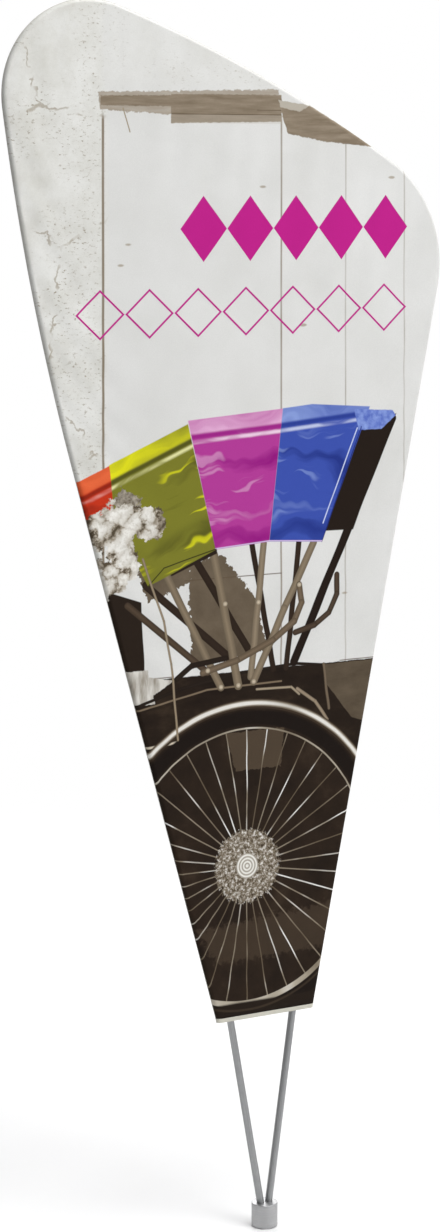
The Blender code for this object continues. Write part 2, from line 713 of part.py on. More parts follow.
def bearing():
    """Both rings, the shield, and the balls in their cage."""
    low, high = BEARING_BASE, BEARING_BASE + BEARING_WIDTH
    inner = [(BEARING_BORE, high), (INNER_SHOULDER, high)]
    inner += race(BEARING_MIDDLE, INNER_SHOULDER, -1)
    inner += [(INNER_SHOULDER, low), (BEARING_BORE, low)]
    turned("bearing_inner_ring", inner, "bearing_steel", RING_SIDES)
    outer = [(OUTER_SHOULDER, high), (BEARING_OUTER, high), (BEARING_OUTER, low), (OUTER_SHOULDER, low)]
    outer += race(BEARING_MIDDLE, OUTER_SHOULDER, 1)[::-1]
    turned("bearing_outer_ring", outer, "bearing_steel", RING_SIDES)
    shield = ring_profile(
        INNER_SHOULDER + RUNNING_GAP, OUTER_SHOULDER - GAP, low + GAP, low + GAP + SHIELD_THICKNESS
    )
    turned("bearing_shield", shield, "plain_steel", RING_SIDES)
    cage_profile = ring_profile(
        PITCH_RADIUS - CAGE_THICKNESS / 2,
        PITCH_RADIUS + CAGE_THICKNESS / 2,
        BEARING_MIDDLE - CAGE_WIDTH / 2,
        BEARING_MIDDLE + CAGE_WIDTH / 2,
    )
    cage = turned("bearing_cage", cage_profile, "cage_polymer", BALL_COUNT * 4)
    for number in range(BALL_COUNT):
        spoke = Matrix.Rotation(2 * math.pi * number / BALL_COUNT, 4, "Z")
        spoke = Matrix.Translation((0, 0, BEARING_MIDDLE)) @ spoke @ Matrix.Rotation(math.pi / 2, 4, "Y")
        reach = CAGE_THICKNESS + LAP
        pocket = cylinder_mesh(BALL_RADIUS + GAP, PITCH_RADIUS - reach, PITCH_RADIUS + reach, 12)
        boolean(cage, "DIFFERENCE", pocket, spoke)
        bm = bmesh.new()
        bmesh.ops.create_icosphere(bm, subdivisions=2, radius=BALL_RADIUS)
        place = spoke @ Matrix.Translation((0, 0, PITCH_RADIUS))
        add_object(f"bearing_ball_{number + 1}", mesh_from("ball", bm), "bearing_steel", place)


def open_ring(name, inner, outer, low, high, ears):
    """A retaining ring with an opening towards +X, and ears on the given side of it: 1 out, -1 in."""
    ring = turned(name, ring_profile(inner, outer, low, high), "spring_steel", RING_SIDES)
    reach = outer * 1.5
    wedge = Matrix.Translation((reach / 2 + inner / 2, 0, (low + high) / 2))
    width = 2 * inner * math.sin(CLIP_OPENING / 2)
    cutter = box_mesh((-reach / 2, -width / 2, low - high), (reach / 2, width / 2, high - low))
    if ears:
        for side in (-1, 1):
            centre = inner - CLIP_EAR_INSET
            angle = side * (CLIP_OPENING / 2 + CLIP_EAR_TURN)
            ear = cylinder_mesh(CLIP_EAR_RADIUS, low, high, 14)
            place = Matrix.Translation((centre * math.cos(angle), centre * math.sin(angle), 0))
            boolean(ring, "UNION", ear, place)
    boolean(ring, "DIFFERENCE", cutter, wedge)
    return ring


def sleeve_and_clips(groove_low, groove):
    """The sleeve that stays on the stake, and the two retaining rings."""
    journal = BEARING_BORE - GAP
    ring_low = BEARING_BASE + BEARING_WIDTH + GAP
    ring_high = ring_low + CLIP_THICKNESS
    floor = journal - SNAP_GROOVE
    profile = [
        (0, SPINDLE_DEPTH + SLEEVE_CAP),
        (journal - SLEEVE_EDGE, SPINDLE_DEPTH + SLEEVE_CAP),
        (journal, SPINDLE_DEPTH + SLEEVE_CAP - SLEEVE_EDGE),
        (journal, ring_high + GAP),
        (floor, ring_high + GAP),
        (floor, ring_low - GAP),
        (journal, ring_low - GAP),
        (journal, BEARING_BASE - GAP),
        (INNER_SHOULDER, BEARING_BASE - GAP),
        (INNER_SHOULDER, FLANGE_THICKNESS),
        (FLANGE_RADIUS, FLANGE_THICKNESS),
        (FLANGE_RADIUS, 0),
        (SPINDLE_BORE + SPINDLE_LEAD, 0),
        (SPINDLE_BORE, SPINDLE_LEAD),
        (SPINDLE_BORE, SPINDLE_DEPTH),
        (0, SPINDLE_DEPTH),
    ]
    turned("spindle_sleeve", profile, "plain_steel", RING_SIDES)
    open_ring("sleeve_snap_ring", floor + GAP, INNER_SHOULDER - GAP, ring_low, ring_high, False)
    clip_low = groove_low + GAP
    clip_inner = BEARING_OUTER - CLIP_REACH
    open_ring("bearing_circlip", clip_inner, groove - GAP, clip_low, clip_low + CLIP_THICKNESS, True)


# ---- Fabric case ----


def roll_way(heading, level):
    """The way in which fabric leaves a station of the outline: square to it, or level at a cut end."""
    out = Vector((-math.sin(heading), math.cos(heading)))
    if not level:
        return out
    along = Outline.direction(heading)
    return out - along * (out.y / along.y)


def case_sheet(name, side, runs, finish):
    """A flat sheet over the frame whose edges roll half way round the tube. Side is -1 for the front.

    Each run lists (point, roll way) stations in order; the sheet rolls along runs and is cut between them.
    """
    bm = bmesh.new()
    station = bm.verts.layers.int.new("station")
    places = [place for run in runs for place in run]
    points = []
    for number, (point, _) in enumerate(places):
        vert = bm.verts.new((point.x, side * SKIN, point.y))
        vert[station] = number
        points.append(vert)
    bm.faces.new(points)
    rim = []
    start = 0
    for run in runs:
        stop = start + len(run)
        rim += [bm.edges.get(pair) for pair in zip(points[start:stop], points[start + 1 : stop])]
        start = stop
    last = math.pi / 2 - GAP / 2 / SKIN
    for step in range(1, ROLL_STEPS + 1):
        angle = last * step / ROLL_STEPS
        grown = bmesh.ops.extrude_edge_only(bm, edges=rim)["geom"]
        moved = {item for item in grown if isinstance(item, bmesh.types.BMVert)}
        rim = [e for e in grown if isinstance(e, bmesh.types.BMEdge) and set(e.verts) <= moved]
        for vert in moved:
            point, way = places[vert[station]]
            spot = point + way * SKIN * math.sin(angle)
            vert.co = (spot.x, side * SKIN * math.cos(angle), spot.y)
    bmesh.ops.recalc_face_normals(bm, faces=bm.faces)
    bm.faces.ensure_lookup_table()
    if bm.faces[0].normal.y * side < 0:
        bmesh.ops.reverse_faces(bm, faces=bm.faces)
    mesh = bpy.data.meshes.new(name)
    bm.to_mesh(mesh)
    bm.free()
    sheet = add_object(name, mesh, finish)
    cloth = sheet.modifiers.new("cloth", "SOLIDIFY")
    cloth.thickness = FABRIC
    cloth.offset = 1
    return sheet


def fabric_case(outline):
    """Front and back panels and their hems. Returns the back panel."""
    panel_bottom = HEM_TOP + GAP
    low, high = outline.left_edge_at(panel_bottom), outline.right_edge_at(panel_bottom)
    run = [outline.edge_station(low)]
    for mark in outline.marks[1:-1]:
        point, heading = outline.at(mark)
        run.append((point, roll_way(heading, False)))
    run.append(outline.edge_station(high))
    case_sheet("front_panel", -1, [run], "printed_fabric")
    back = case_sheet("back_panel", 1, [run], "printed_fabric")
    left = [outline.edge_station(outline.left_edge_at(height)) for height in (HEM_BOTTOM, HEM_TOP)]
    right = [outline.edge_station(outline.right_edge_at(height)) for height in (HEM_TOP, HEM_BOTTOM)]
    case_sheet("front_hem", -1, [left, right], "hem_fabric")
    case_sheet("back_hem", 1, [left, right], "hem_fabric")
    return back


# ---- Zip ----


def zip_frame(outline):
    """Z runs up the right edge from the zip's foot, X points out of the flag. Also the zip's length."""
    foot = outline.right_edge_at(RAIL_HEIGHT + ZIP_ABOVE_RAIL)
    point, _ = outline.at(foot)
    place = Matrix.Translation((point.x, 0, point.y)) @ Matrix.Rotation(RIGHT_LEAN, 4, "Y")
    return place @ Matrix.Translation((-ZIP_INSET, 0, 0)), foot - outline.ends[-2] - ZIP_HEAD_ROOM


def zip_box(name, low, high, finish, frame):
    """A plain piece of the zip."""
    return add_object(name, box_mesh(low, high), finish, frame)


def zip_fastener(outline, back):
    """Tapes, coils, stops, slider and pull tab, in a slot of the back panel."""
    frame, length = zip_frame(outline)
    slot = box_mesh((-ZIP_SLOT / 2, SKIN - FABRIC, 0), (ZIP_SLOT / 2, SKIN + OVERRUN, length))
    boolean(back, "DIFFERENCE", slot, frame)
    tape_top = SKIN - GAP
    coil_low = tape_top + GAP
    coil_top = coil_low + COIL_HEIGHT
    stop_top = coil_top + STOP_PROUD
    half = COIL_SPLIT / 2
    for name, side in (("left", -1), ("right", 1)):
        inner, tape_edge, coil_edge = side * half, side * (half + TAPE_WIDTH), side * (half + COIL_WIDTH)
        zip_box(
            f"zip_{name}_tape",
            (min(inner, tape_edge), tape_top - FABRIC, -TAPE_TAIL),
            (max(inner, tape_edge), tape_top, length + TAPE_HEAD),
            "zip_tape",
            frame,
        )
        coil = zip_box(
            f"zip_{name}_coil",
            (min(inner, coil_edge), coil_low, STOP_LENGTH + 2 * GAP),
            (max(inner, coil_edge), coil_top, length - STOP_LENGTH - 2 * GAP),
            "zip_coil",
            frame,
        )
        soften = coil.modifiers.new("round", "BEVEL")
        soften.width = COIL_ROUNDING
        soften.segments = 2
    width = half + COIL_WIDTH + STOP_SIDE
    for name, low in (("bottom", GAP), ("top", length - STOP_LENGTH - GAP)):
        zip_box(
            f"zip_{name}_stop",
            (-width, coil_low, low),
            (width, stop_top, low + STOP_LENGTH),
            "zip_metal",
            frame,
        )
    low = STOP_LENGTH + 3 * GAP
    slider_and_pull(frame @ Matrix.Translation((0, 0, low)), tape_top - FABRIC, coil_low, coil_top)


def slider_and_pull(frame, tape_bottom, coil_low, coil_top):
    """A slider that wraps the chain, with a bail on its top plate that the pull tab hangs from."""
    half = COIL_SPLIT / 2 + COIL_WIDTH
    plate = half + GAP + SLIDER_LIP
    top = coil_top + GAP
    bar = top + SLIDER_PLATE + BAIL_HEIGHT
    middle = SLIDER_LENGTH / 2
    top_plate = box_mesh((-plate, top, 0), (plate, top + SLIDER_PLATE, SLIDER_LENGTH))
    slider = add_object("zip_slider", top_plate, "zip_metal", frame)
    bottom = tape_bottom - GAP
    neck = COIL_SPLIT / 2 - GAP
    neck_start, neck_stop = SLIDER_NECK
    joined = [
        box_mesh((LAP - plate, bottom - SLIDER_PLATE, LAP), (plate - LAP, bottom, SLIDER_LENGTH - LAP)),
        box_mesh((-neck, bottom - SLIDER_PLATE / 2, neck_start), (neck, top + SLIDER_PLATE / 2, neck_stop)),
    ]
    for side in (-1, 1):
        lip = sorted((side * plate, side * (half + GAP)))
        low = (lip[0], coil_low + GAP, 2 * LAP)
        joined.append(box_mesh(low, (lip[1], top + LAP, SLIDER_LENGTH - 2 * LAP)))
        post = sorted((side * BAIL_REACH, side * (BAIL_REACH + BAIL_POST)))
        low = (post[0], top + SLIDER_PLATE / 2, middle - BAIL_POST_HALF)
        joined.append(box_mesh(low, (post[1], bar + BAIL_POST, middle + BAIL_POST_HALF)))
    for mesh in joined:
        boolean(slider, "UNION", mesh, frame)
    hinge = frame @ Matrix.Translation((0, bar, middle))
    across = Matrix.Rotation(math.pi / 2, 4, "Y")
    bail = cylinder_mesh(BAIL_RADIUS, -BAIL_REACH - LAP, BAIL_REACH + LAP, 12)
    boolean(slider, "UNION", bail, hinge @ across)
    pull_tab(hinge, across)


def pull_tab(hinge, across):
    """A flat tab hanging from an eye round the bail's bar. Its origin is on the bar's axis."""
    eye = BAIL_RADIUS + RUNNING_GAP
    neck = BAIL_REACH - RUNNING_GAP
    barrel = cylinder_mesh(eye + PULL_EYE_WALL, -neck, neck, 16)
    tab = add_object("zip_pull_tab", barrel, "zip_metal", hinge @ across)
    flat = PULL_THICKNESS / 2
    strip = box_mesh((LAP - neck, -flat, -PULL_NECK_LENGTH - 5 * LAP), (neck - LAP, flat, -LAP))
    half = PULL_WIDTH / 2
    blade = box_mesh((-half, LAP / 2 - flat, -PULL_LENGTH), (half, flat - LAP / 2, -PULL_NECK_LENGTH))
    for mesh in (strip, blade):
        boolean(tab, "UNION", mesh, hinge)
    boolean(tab, "DIFFERENCE", cylinder_mesh(eye, -OVERRUN, OVERRUN, 12), hinge @ across)
    z_on_y = Matrix.Rotation(math.pi / 2, 4, "X")
    hole = cylinder_mesh(PULL_HOLE_RADIUS, -OVERRUN, OVERRUN, 14)
    middle = Matrix.Translation((0, 0, PULL_HOLE_MARGIN - PULL_LENGTH))
    boolean(tab, "DIFFERENCE", hole, hinge @ middle @ z_on_y)


def hang_on_axes():
    """Parents each part to the empty on the axis that it turns about, and the pull tab to its slider."""
    names = ("stand_axis", "cage_axis", "flag_axis")
    stand, cage, flag = (bpy.data.objects.new(name, None) for name in names)
    still = ("spindle_sleeve", "bearing_inner_ring", "sleeve_snap_ring")
    for part in list(FLAG.objects):
        part.parent = flag
        if part.name in still:
            part.parent = stand
        elif part.name.startswith(("bearing_cage", "bearing_ball")):
            part.parent = cage
    for empty in (stand, cage, flag):
        FLAG.objects.link(empty)
    slider, pull = FLAG.objects["zip_slider"], FLAG.objects["zip_pull_tab"]
    pull.parent = slider
    pull.matrix_parent_inverse = slider.matrix_basis.inverted()


def main():
    outline = Outline()
    perimeter_frame(outline)
    elbow("left_corner_elbow", -1)
    elbow("right_corner_elbow", 1)
    legs(bottom_rail())
    groove_low, groove = hub_body()
    grub_screws()
    bearing()
    sleeve_and_clips(groove_low, groove)
    back = fabric_case(outline)
    zip_fastener(outline, back)
    hang_on_axes()


clear_scene()
FLAG = make_collection("teardrop_flag")
TOOLS = make_collection("cutters")
MATERIALS = make_materials()
main()
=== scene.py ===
"""Looks of the teardrop flag: printed case, zip, tubes, hub, and the studio they stand in.

Metres, +Z up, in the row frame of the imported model. The front of the case faces -Y.
"""

import json
import logging
import math
from collections.abc import Callable, Iterable, Sequence
from dataclasses import dataclass, field
from enum import Enum

import bmesh
import bpy
import numpy as np
from mathutils import Matrix, Vector


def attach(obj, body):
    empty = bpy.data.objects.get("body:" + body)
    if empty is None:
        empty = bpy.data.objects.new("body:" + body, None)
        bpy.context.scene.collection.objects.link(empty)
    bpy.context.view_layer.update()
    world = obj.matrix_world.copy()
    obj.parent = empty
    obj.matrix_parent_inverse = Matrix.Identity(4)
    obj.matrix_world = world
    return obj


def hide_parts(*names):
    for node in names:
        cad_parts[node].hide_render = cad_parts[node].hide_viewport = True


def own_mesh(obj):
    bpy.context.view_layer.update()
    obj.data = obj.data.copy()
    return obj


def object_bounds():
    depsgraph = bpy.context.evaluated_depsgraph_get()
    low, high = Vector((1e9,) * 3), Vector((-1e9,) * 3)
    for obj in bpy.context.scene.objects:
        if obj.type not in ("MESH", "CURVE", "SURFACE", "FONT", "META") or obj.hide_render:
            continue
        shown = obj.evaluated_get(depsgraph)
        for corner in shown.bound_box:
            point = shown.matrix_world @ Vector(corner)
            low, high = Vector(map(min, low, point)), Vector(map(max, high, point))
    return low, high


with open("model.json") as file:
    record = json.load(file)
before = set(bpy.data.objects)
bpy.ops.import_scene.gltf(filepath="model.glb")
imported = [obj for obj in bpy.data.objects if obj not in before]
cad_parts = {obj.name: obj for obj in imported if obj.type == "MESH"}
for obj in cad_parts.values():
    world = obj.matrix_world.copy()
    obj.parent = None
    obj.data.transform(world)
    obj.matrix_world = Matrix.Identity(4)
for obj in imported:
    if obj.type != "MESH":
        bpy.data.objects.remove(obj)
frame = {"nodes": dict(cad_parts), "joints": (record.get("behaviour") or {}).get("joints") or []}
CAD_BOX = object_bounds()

logging.basicConfig(level=logging.INFO, format="%(name)s: %(message)s")
LOG = logging.getLogger("teardrop_flag")

Spot = tuple[float, float]
Value = bpy.types.NodeSocket | float | tuple


# ---- Helpers for node trees ----


def ink(red: int, green: int, blue: int) -> tuple[float, float, float, float]:
    """An 8-bit display colour as a linear one."""
    parts = (value / 255 for value in (red, green, blue))
    return (*(((p + 0.055) / 1.055) ** 2.4 if p > 0.04045 else p / 12.92 for p in parts), 1.0)


class Recipe:
    """Lays nodes in one node tree and joins their sockets."""

    def __init__(self, tree: bpy.types.NodeTree) -> None:
        """Starts on a tree.

        Args:
            tree: the tree that takes the nodes.
        """
        self.tree = tree

    def node(self, kind: str, **settings: object) -> bpy.types.Node:
        """Adds one node.

        Args:
            kind: the node's type name, without ShaderNode.
            settings: the node's own properties.

        Returns:
            The new node.
        """
        made = self.tree.nodes.new("ShaderNode" + kind)
        for name, value in settings.items():
            setattr(made, name, value)
        return made

    def feed(self, socket: bpy.types.NodeSocket, value: Value) -> None:
        """Links a socket to another, or sets its value."""
        if isinstance(value, bpy.types.NodeSocket):
            self.tree.links.new(value, socket)
        else:
            socket.default_value = value

    def math(self, operation: str, *values: Value, clamp: bool = False) -> bpy.types.NodeSocket:
        """One Math node on numbers."""
        made = self.node("Math", operation=operation, use_clamp=clamp)
        for socket, value in zip(made.inputs, values):
            self.feed(socket, value)
        return made.outputs[0]

    def times(self, first: Value, second: Value) -> bpy.types.NodeSocket:
        """The product of two numbers."""
        return self.math("MULTIPLY", first, second)

    def vector(self, operation: str, *values: Value) -> bpy.types.NodeSocket:
        """One Vector Math node. Dot product and length put out a number."""
        made = self.node("VectorMath", operation=operation)
        for socket, value in zip(made.inputs, values):
            self.feed(socket, value)
        return made.outputs["Value" if operation in ("DOT_PRODUCT", "LENGTH", "DISTANCE") else "Vector"]

    def scaled(self, vector: Value, factor: Value) -> bpy.types.NodeSocket:
        """A vector times a number."""
        made = self.node("VectorMath", operation="SCALE")
        self.feed(made.inputs[0], vector)
        self.feed(made.inputs["Scale"], factor)
        return made.outputs[0]

    def step(self, value: Value, low: Value, high: Value) -> bpy.types.NodeSocket:
        """A soft step from 0 at low to 1 at high."""
        made = self.node("MapRange", interpolation_type="SMOOTHSTEP")
        for name, part in (("Value", value), ("From Min", low), ("From Max", high)):
            self.feed(made.inputs[name], part)
        return made.outputs["Result"]

    def between(self, value: Value, low: float, high: float, soft: float) -> bpy.types.NodeSocket:
        """A mask that is 1 from low to high, with soft edges."""
        half, middle = (high - low) / 2, (high + low) / 2
        away = self.math("ABSOLUTE", self.math("SUBTRACT", value, middle))
        return self.step(away, half + soft, half - soft)

    def mix(self, factor: Value, first: Value, second: Value, blend: str = "MIX") -> bpy.types.NodeSocket:
        """One Mix node on colours."""
        made = self.node("Mix", data_type="RGBA", blend_type=blend)
        self.feed(made.inputs["Factor"], factor)
        self.feed(made.inputs["A"], first)
        self.feed(made.inputs["B"], second)
        return made.outputs["Result"]

    def ramp(self, value: Value, stops: Sequence[tuple[float, tuple]]) -> bpy.types.NodeSocket:
        """A colour ramp.

        Args:
            value: what runs along the ramp.
            stops: places from 0 to 1 with their colours.

        Returns:
            The colour.
        """
        made = self.node("ValToRGB")
        elements = made.color_ramp.elements
        while len(elements) < len(stops):
            elements.new(0.5)
        for element, (place, colour) in zip(elements, stops):
            element.position, element.color = place, colour
        self.feed(made.inputs[0], value)
        return made.outputs[0]

    def noise(
        self, point: Value, scale: float, detail: float = 2.0, roughness: float = 0.5
    ) -> bpy.types.NodeSocket:
        """Noise from 0 to 1."""
        made = self.node("TexNoise")
        self.feed(made.inputs["Vector"], point)
        for name, value in (("Scale", scale), ("Detail", detail), ("Roughness", roughness)):
            made.inputs[name].default_value = value
        return made.outputs["Fac"]

    def cells(self, point: Value, scale: float, output: str = "Distance", spread: float = 1.0):
        """Voronoi cells: the distance from each cell's middle, or its colour."""
        made = self.node("TexVoronoi")
        self.feed(made.inputs["Vector"], point)
        made.inputs["Scale"].default_value = scale
        made.inputs["Randomness"].default_value = spread
        return made.outputs[output]

    def object_point(self) -> bpy.types.NodeSocket:
        """The point in the piece's own coordinates, which are the row frame's."""
        return self.node("TexCoord").outputs["Object"]

    def placed(
        self, point: Value, place: Matrix, scale: Sequence[float] = (1, 1, 1)
    ) -> bpy.types.NodeSocket:
        """A point in the coordinates of a place, stretched.

        Args:
            point: the point in the row frame.
            place: the matrix of the place.
            scale: how many times each axis is stretched.

        Returns:
            The point seen from the place.
        """
        back = place.inverted()
        made = self.node("Mapping", vector_type="POINT")
        self.feed(made.inputs["Vector"], point)
        made.inputs["Location"].default_value = [a * s for a, s in zip(back.translation, scale)]
        made.inputs["Rotation"].default_value = back.to_euler()
        turned = made.outputs[0]
        if tuple(scale) == (1, 1, 1):
            return turned
        made.inputs["Location"].default_value = back.translation
        return self.vector("MULTIPLY", turned, tuple(scale))

    def use(self, group: bpy.types.NodeTree, **values: Value) -> bpy.types.Node:
        """Places a node group and feeds its inputs by name, with _ for a space."""
        made = self.node("Group", node_tree=group)
        for name, value in values.items():
            self.feed(made.inputs[name.replace("_", " ")], value)
        return made


class SocketKind(Enum):
    """Kinds of sockets that a node group has."""

    NUMBER = "NodeSocketFloat"
    VECTOR = "NodeSocketVector"
    COLOUR = "NodeSocketColor"


def new_group(
    name: str, inputs: dict[str, SocketKind], outputs: dict[str, SocketKind]
) -> tuple[bpy.types.NodeTree, Recipe, dict[str, bpy.types.NodeSocket], bpy.types.Node]:
    """Starts a shader node group.

    Args:
        name: the group's name.
        inputs: its inputs and their kinds.
        outputs: its outputs and their kinds.

    Returns:
        The group, a recipe on it, its inputs by name, and the node that takes its outputs.
    """
    group = bpy.data.node_groups.new(name, "ShaderNodeTree")
    for label, kind in inputs.items():
        group.interface.new_socket(label, in_out="INPUT", socket_type=kind.value)
    for label, kind in outputs.items():
        group.interface.new_socket(label, in_out="OUTPUT", socket_type=kind.value)
    start, end = group.nodes.new("NodeGroupInput"), group.nodes.new("NodeGroupOutput")
    return group, Recipe(group), {label: start.outputs[label] for label in inputs}, end


# ---- Shared effects ----


def weave_group() -> bpy.types.NodeTree:
    """Crossed yarns: a height and a shade, from a point and the yarns' pitch. The shade is random mottle,
    plus painted shade where the weave lies low.
    """
    group, lay, given, end = new_group(
        "yarn_weave",
        {"Point": SocketKind.VECTOR, "Pitch": SocketKind.NUMBER},
        {"Height": SocketKind.NUMBER, "Shade": SocketKind.NUMBER},
    )
    turns = lay.math("DIVIDE", math.tau, given["Pitch"])
    split = lay.node("SeparateXYZ")
    lay.feed(split.inputs[0], given["Point"])
    across = lay.math("SINE", lay.times(split.outputs["X"], turns))
    along = lay.math("SINE", lay.times(split.outputs["Z"], turns))
    crossed = lay.times(across, along)
    thick = lay.noise(lay.vector("MULTIPLY", given["Point"], (9.0, 9.0, 160.0)), 3.0, 2.0)
    lay.feed(end.inputs["Height"], lay.math("ADD", crossed, lay.times(thick, 0.8)))
    mottle = lay.noise(given["Point"], 420.0, 3.0, 0.6)
    # Shade: random mottle in the yarn, plus painted shade that darkens the weave's low parts a little.
    lay.feed(end.inputs["Shade"], lay.math("MULTIPLY_ADD", mottle, 0.6, lay.times(crossed, 0.06)))
    return group


def grain_group() -> bpy.types.NodeTree:
    """Fine lines left on metal by a die or a lathe tool, with a few scuffs."""
    group, lay, given, end = new_group(
        "metal_grain",
        {"Point": SocketKind.VECTOR, "Scuffs": SocketKind.NUMBER},
        {"Height": SocketKind.NUMBER, "Shade": SocketKind.NUMBER, "Wear": SocketKind.NUMBER},
    )
    lines = lay.noise(given["Point"], 1.0, 4.0, 0.65)
    lay.feed(end.inputs["Height"], lines)
    lay.feed(end.inputs["Shade"], lay.step(lines, 0.25, 0.75))
    patches = lay.noise(given["Point"], 0.13, 3.0, 0.7)
    worn = lay.step(patches, lay.math("SUBTRACT", 1.0, given["Scuffs"]), 1.0)
    lay.feed(end.inputs["Wear"], worn)
    return group


def stroke_group() -> bpy.types.NodeTree:
    """A printed line between two points: 1 on the line and 0 away from it."""
    group, lay, given, end = new_group(
        "printed_stroke",
        {
            "Point": SocketKind.VECTOR,
            "Start": SocketKind.VECTOR,
            "Way": SocketKind.VECTOR,
            "Half width": SocketKind.NUMBER,
            "Soft": SocketKind.NUMBER,
        },
        {"Mask": SocketKind.NUMBER, "Across": SocketKind.NUMBER},
    )
    rest = lay.vector("SUBTRACT", given["Point"], given["Start"])
    size = lay.vector("DOT_PRODUCT", given["Way"], given["Way"])
    share = lay.math("DIVIDE", lay.vector("DOT_PRODUCT", rest, given["Way"]), size, clamp=True)
    away = lay.vector("LENGTH", lay.vector("SUBTRACT", rest, lay.scaled(given["Way"], share)))
    outer = lay.math("ADD", given["Half width"], given["Soft"])
    inner = lay.math("SUBTRACT", given["Half width"], given["Soft"])
    lay.feed(end.inputs["Mask"], lay.step(away, outer, inner))
    lay.feed(end.inputs["Across"], lay.math("DIVIDE", away, given["Half width"], clamp=True))
    return group


WEAVE = weave_group()
GRAIN = grain_group()
STROKE = stroke_group()


# ---- The print ----

BROWN_BLACK = ink(38, 28, 20)
WHITE = (1.0, 1.0, 1.0, 1.0)
BLACK = (0.0, 0.0, 0.0, 1.0)


@dataclass(frozen=True)
class HoodPanel:
    """One coloured panel of the printed hood: its corners, from the top left, and its inks."""

    corners: tuple[Spot, ...]
    dark: tuple
    middle: tuple
    bright: tuple
    glare: float  # share of the bright ink in the folds
    way: float  # how the folds lie, from level, in radians


@dataclass(frozen=True)
class Stay:
    """A printed bar, rod or stem along a chain of points."""

    spots: tuple[Spot, ...]
    width: float
    colour: tuple
    sheen: float = 0.35  # how much lighter its middle is


@dataclass(frozen=True)
class Wheel:
    """The printed wheel's sizes."""

    centre: Spot = (-0.040, 0.6435)
    rim: float = 0.2415
    tyre_inner: float = 0.2475
    tyre_outer: float = 0.272
    fender: float = 0.2845
    fender_half: float = 0.0085
    spokes: int = 36
    spoke_half: float = 0.0010
    hub: float = 0.064
    cap: float = 0.022


HOOD = (
    HoodPanel(
        ((-0.400, 1.322), (-0.309, 1.360), (-0.299, 1.270), (-0.400, 1.262)),
        ink(120, 28, 14), ink(196, 52, 24), ink(238, 112, 66), 0.35, 0.42,
    ),
    HoodPanel(
        ((-0.310, 1.361), (-0.1575, 1.424), (-0.102, 1.203), (-0.235, 1.148), (-0.299, 1.262)),
        ink(58, 58, 18), ink(122, 122, 40), ink(236, 234, 24), 0.62, 0.40,
    ),
    HoodPanel(
        ((-0.1575, 1.430), (0.033, 1.443), (0.0055, 1.210), (-0.103, 1.203)),
        ink(146, 20, 126), ink(176, 58, 149), ink(236, 192, 224), 0.34, 0.05,
    ),
    HoodPanel(
        ((0.033, 1.4435), (0.093, 1.4485), (0.2135, 1.4395), (0.113, 1.203), (0.0055, 1.210)),
        ink(34, 52, 134), ink(58, 80, 170), ink(150, 172, 226), 0.40, -0.04,
    ),
)  # fmt: skip
HOOD_TIP = ((0.180, 1.436), (0.262, 1.431), (0.268, 1.421), (0.238, 1.398), (0.190, 1.398))
HOOD_SIDE = ((0.194, 1.400), (0.270, 1.425), (0.178, 1.221), (0.111, 1.222))

STAYS = (
    Stay(((0.262, 1.416), (0.056, 0.994)), 0.016, ink(30, 20, 14), 0.10),
    Stay(((-0.030, 1.208), (0.014, 0.985)), 0.011, ink(40, 29, 21), 0.10),
    Stay(((0.066, 1.206), (0.040, 0.985)), 0.011, ink(44, 32, 23), 0.12),
    Stay(((-0.140, 1.184), (-0.035, 1.020)), 0.014, ink(40, 29, 21), 0.10),
    Stay(((-0.240, 1.150), (-0.075, 1.012)), 0.014, ink(42, 31, 23), 0.12),
    Stay(((-0.275, 1.118), (-0.118, 0.990)), 0.012, ink(62, 50, 39)),
    Stay(((-0.206, 1.176), (-0.092, 0.962)), 0.014, ink(104, 92, 75)),
    Stay(((-0.106, 1.194), (-0.057, 0.962)), 0.016, ink(104, 92, 75)),
    Stay(((-0.006, 1.207), (-0.032, 0.975)), 0.013, ink(110, 98, 81)),
    Stay(((0.096, 1.203), (0.036, 1.090), (-0.026, 0.966)), 0.014, ink(106, 94, 77)),
    Stay(
        ((0.145, 1.142), (0.144, 1.108), (0.128, 1.076), (0.098, 1.056), (0.058, 1.046)),
        0.011,
        ink(58, 46, 36),
    ),
    Stay(
        (
            (0.066, 1.130),
            (0.072, 1.098),
            (0.056, 1.066),
            (0.012, 1.036),
            (-0.060, 1.006),
            (-0.128, 0.990),
        ),
        0.012,
        ink(88, 75, 60),
    ),
    Stay(((-0.082, 1.012), (-0.150, 1.004), (-0.180, 0.984)), 0.010, ink(34, 25, 18), 0.10),
)
PLANK_GAPS = (  # place, half width, strength
    (-0.3215, 0.0022, 0.85),
    (0.0295, 0.0016, 0.62),
    (0.1625, 0.0012, 0.38),
    (0.2865, 0.0012, 0.30),
)
RIVETS = (
    (-0.118, 0.993),
    (-0.026, 0.966),
    (-0.057, 0.962),
    (-0.092, 0.962),
    (0.066, 1.130),
    (-0.017, 1.105),
    (-0.084, 1.107),
)
BLOSSOMS = (  # middle, radius
    ((-0.322, 1.252), 0.036),
    ((-0.285, 1.262), 0.034),
    ((-0.232, 1.255), 0.030),
    ((-0.290, 1.215), 0.032),
    ((-0.312, 1.168), 0.036),
    ((-0.272, 1.188), 0.026),
)
STEM = Stay(
    ((-0.246, 1.196), (-0.205, 1.086), (-0.190, 1.010), (-0.177, 0.878)), 0.0042, ink(120, 107, 88)
)


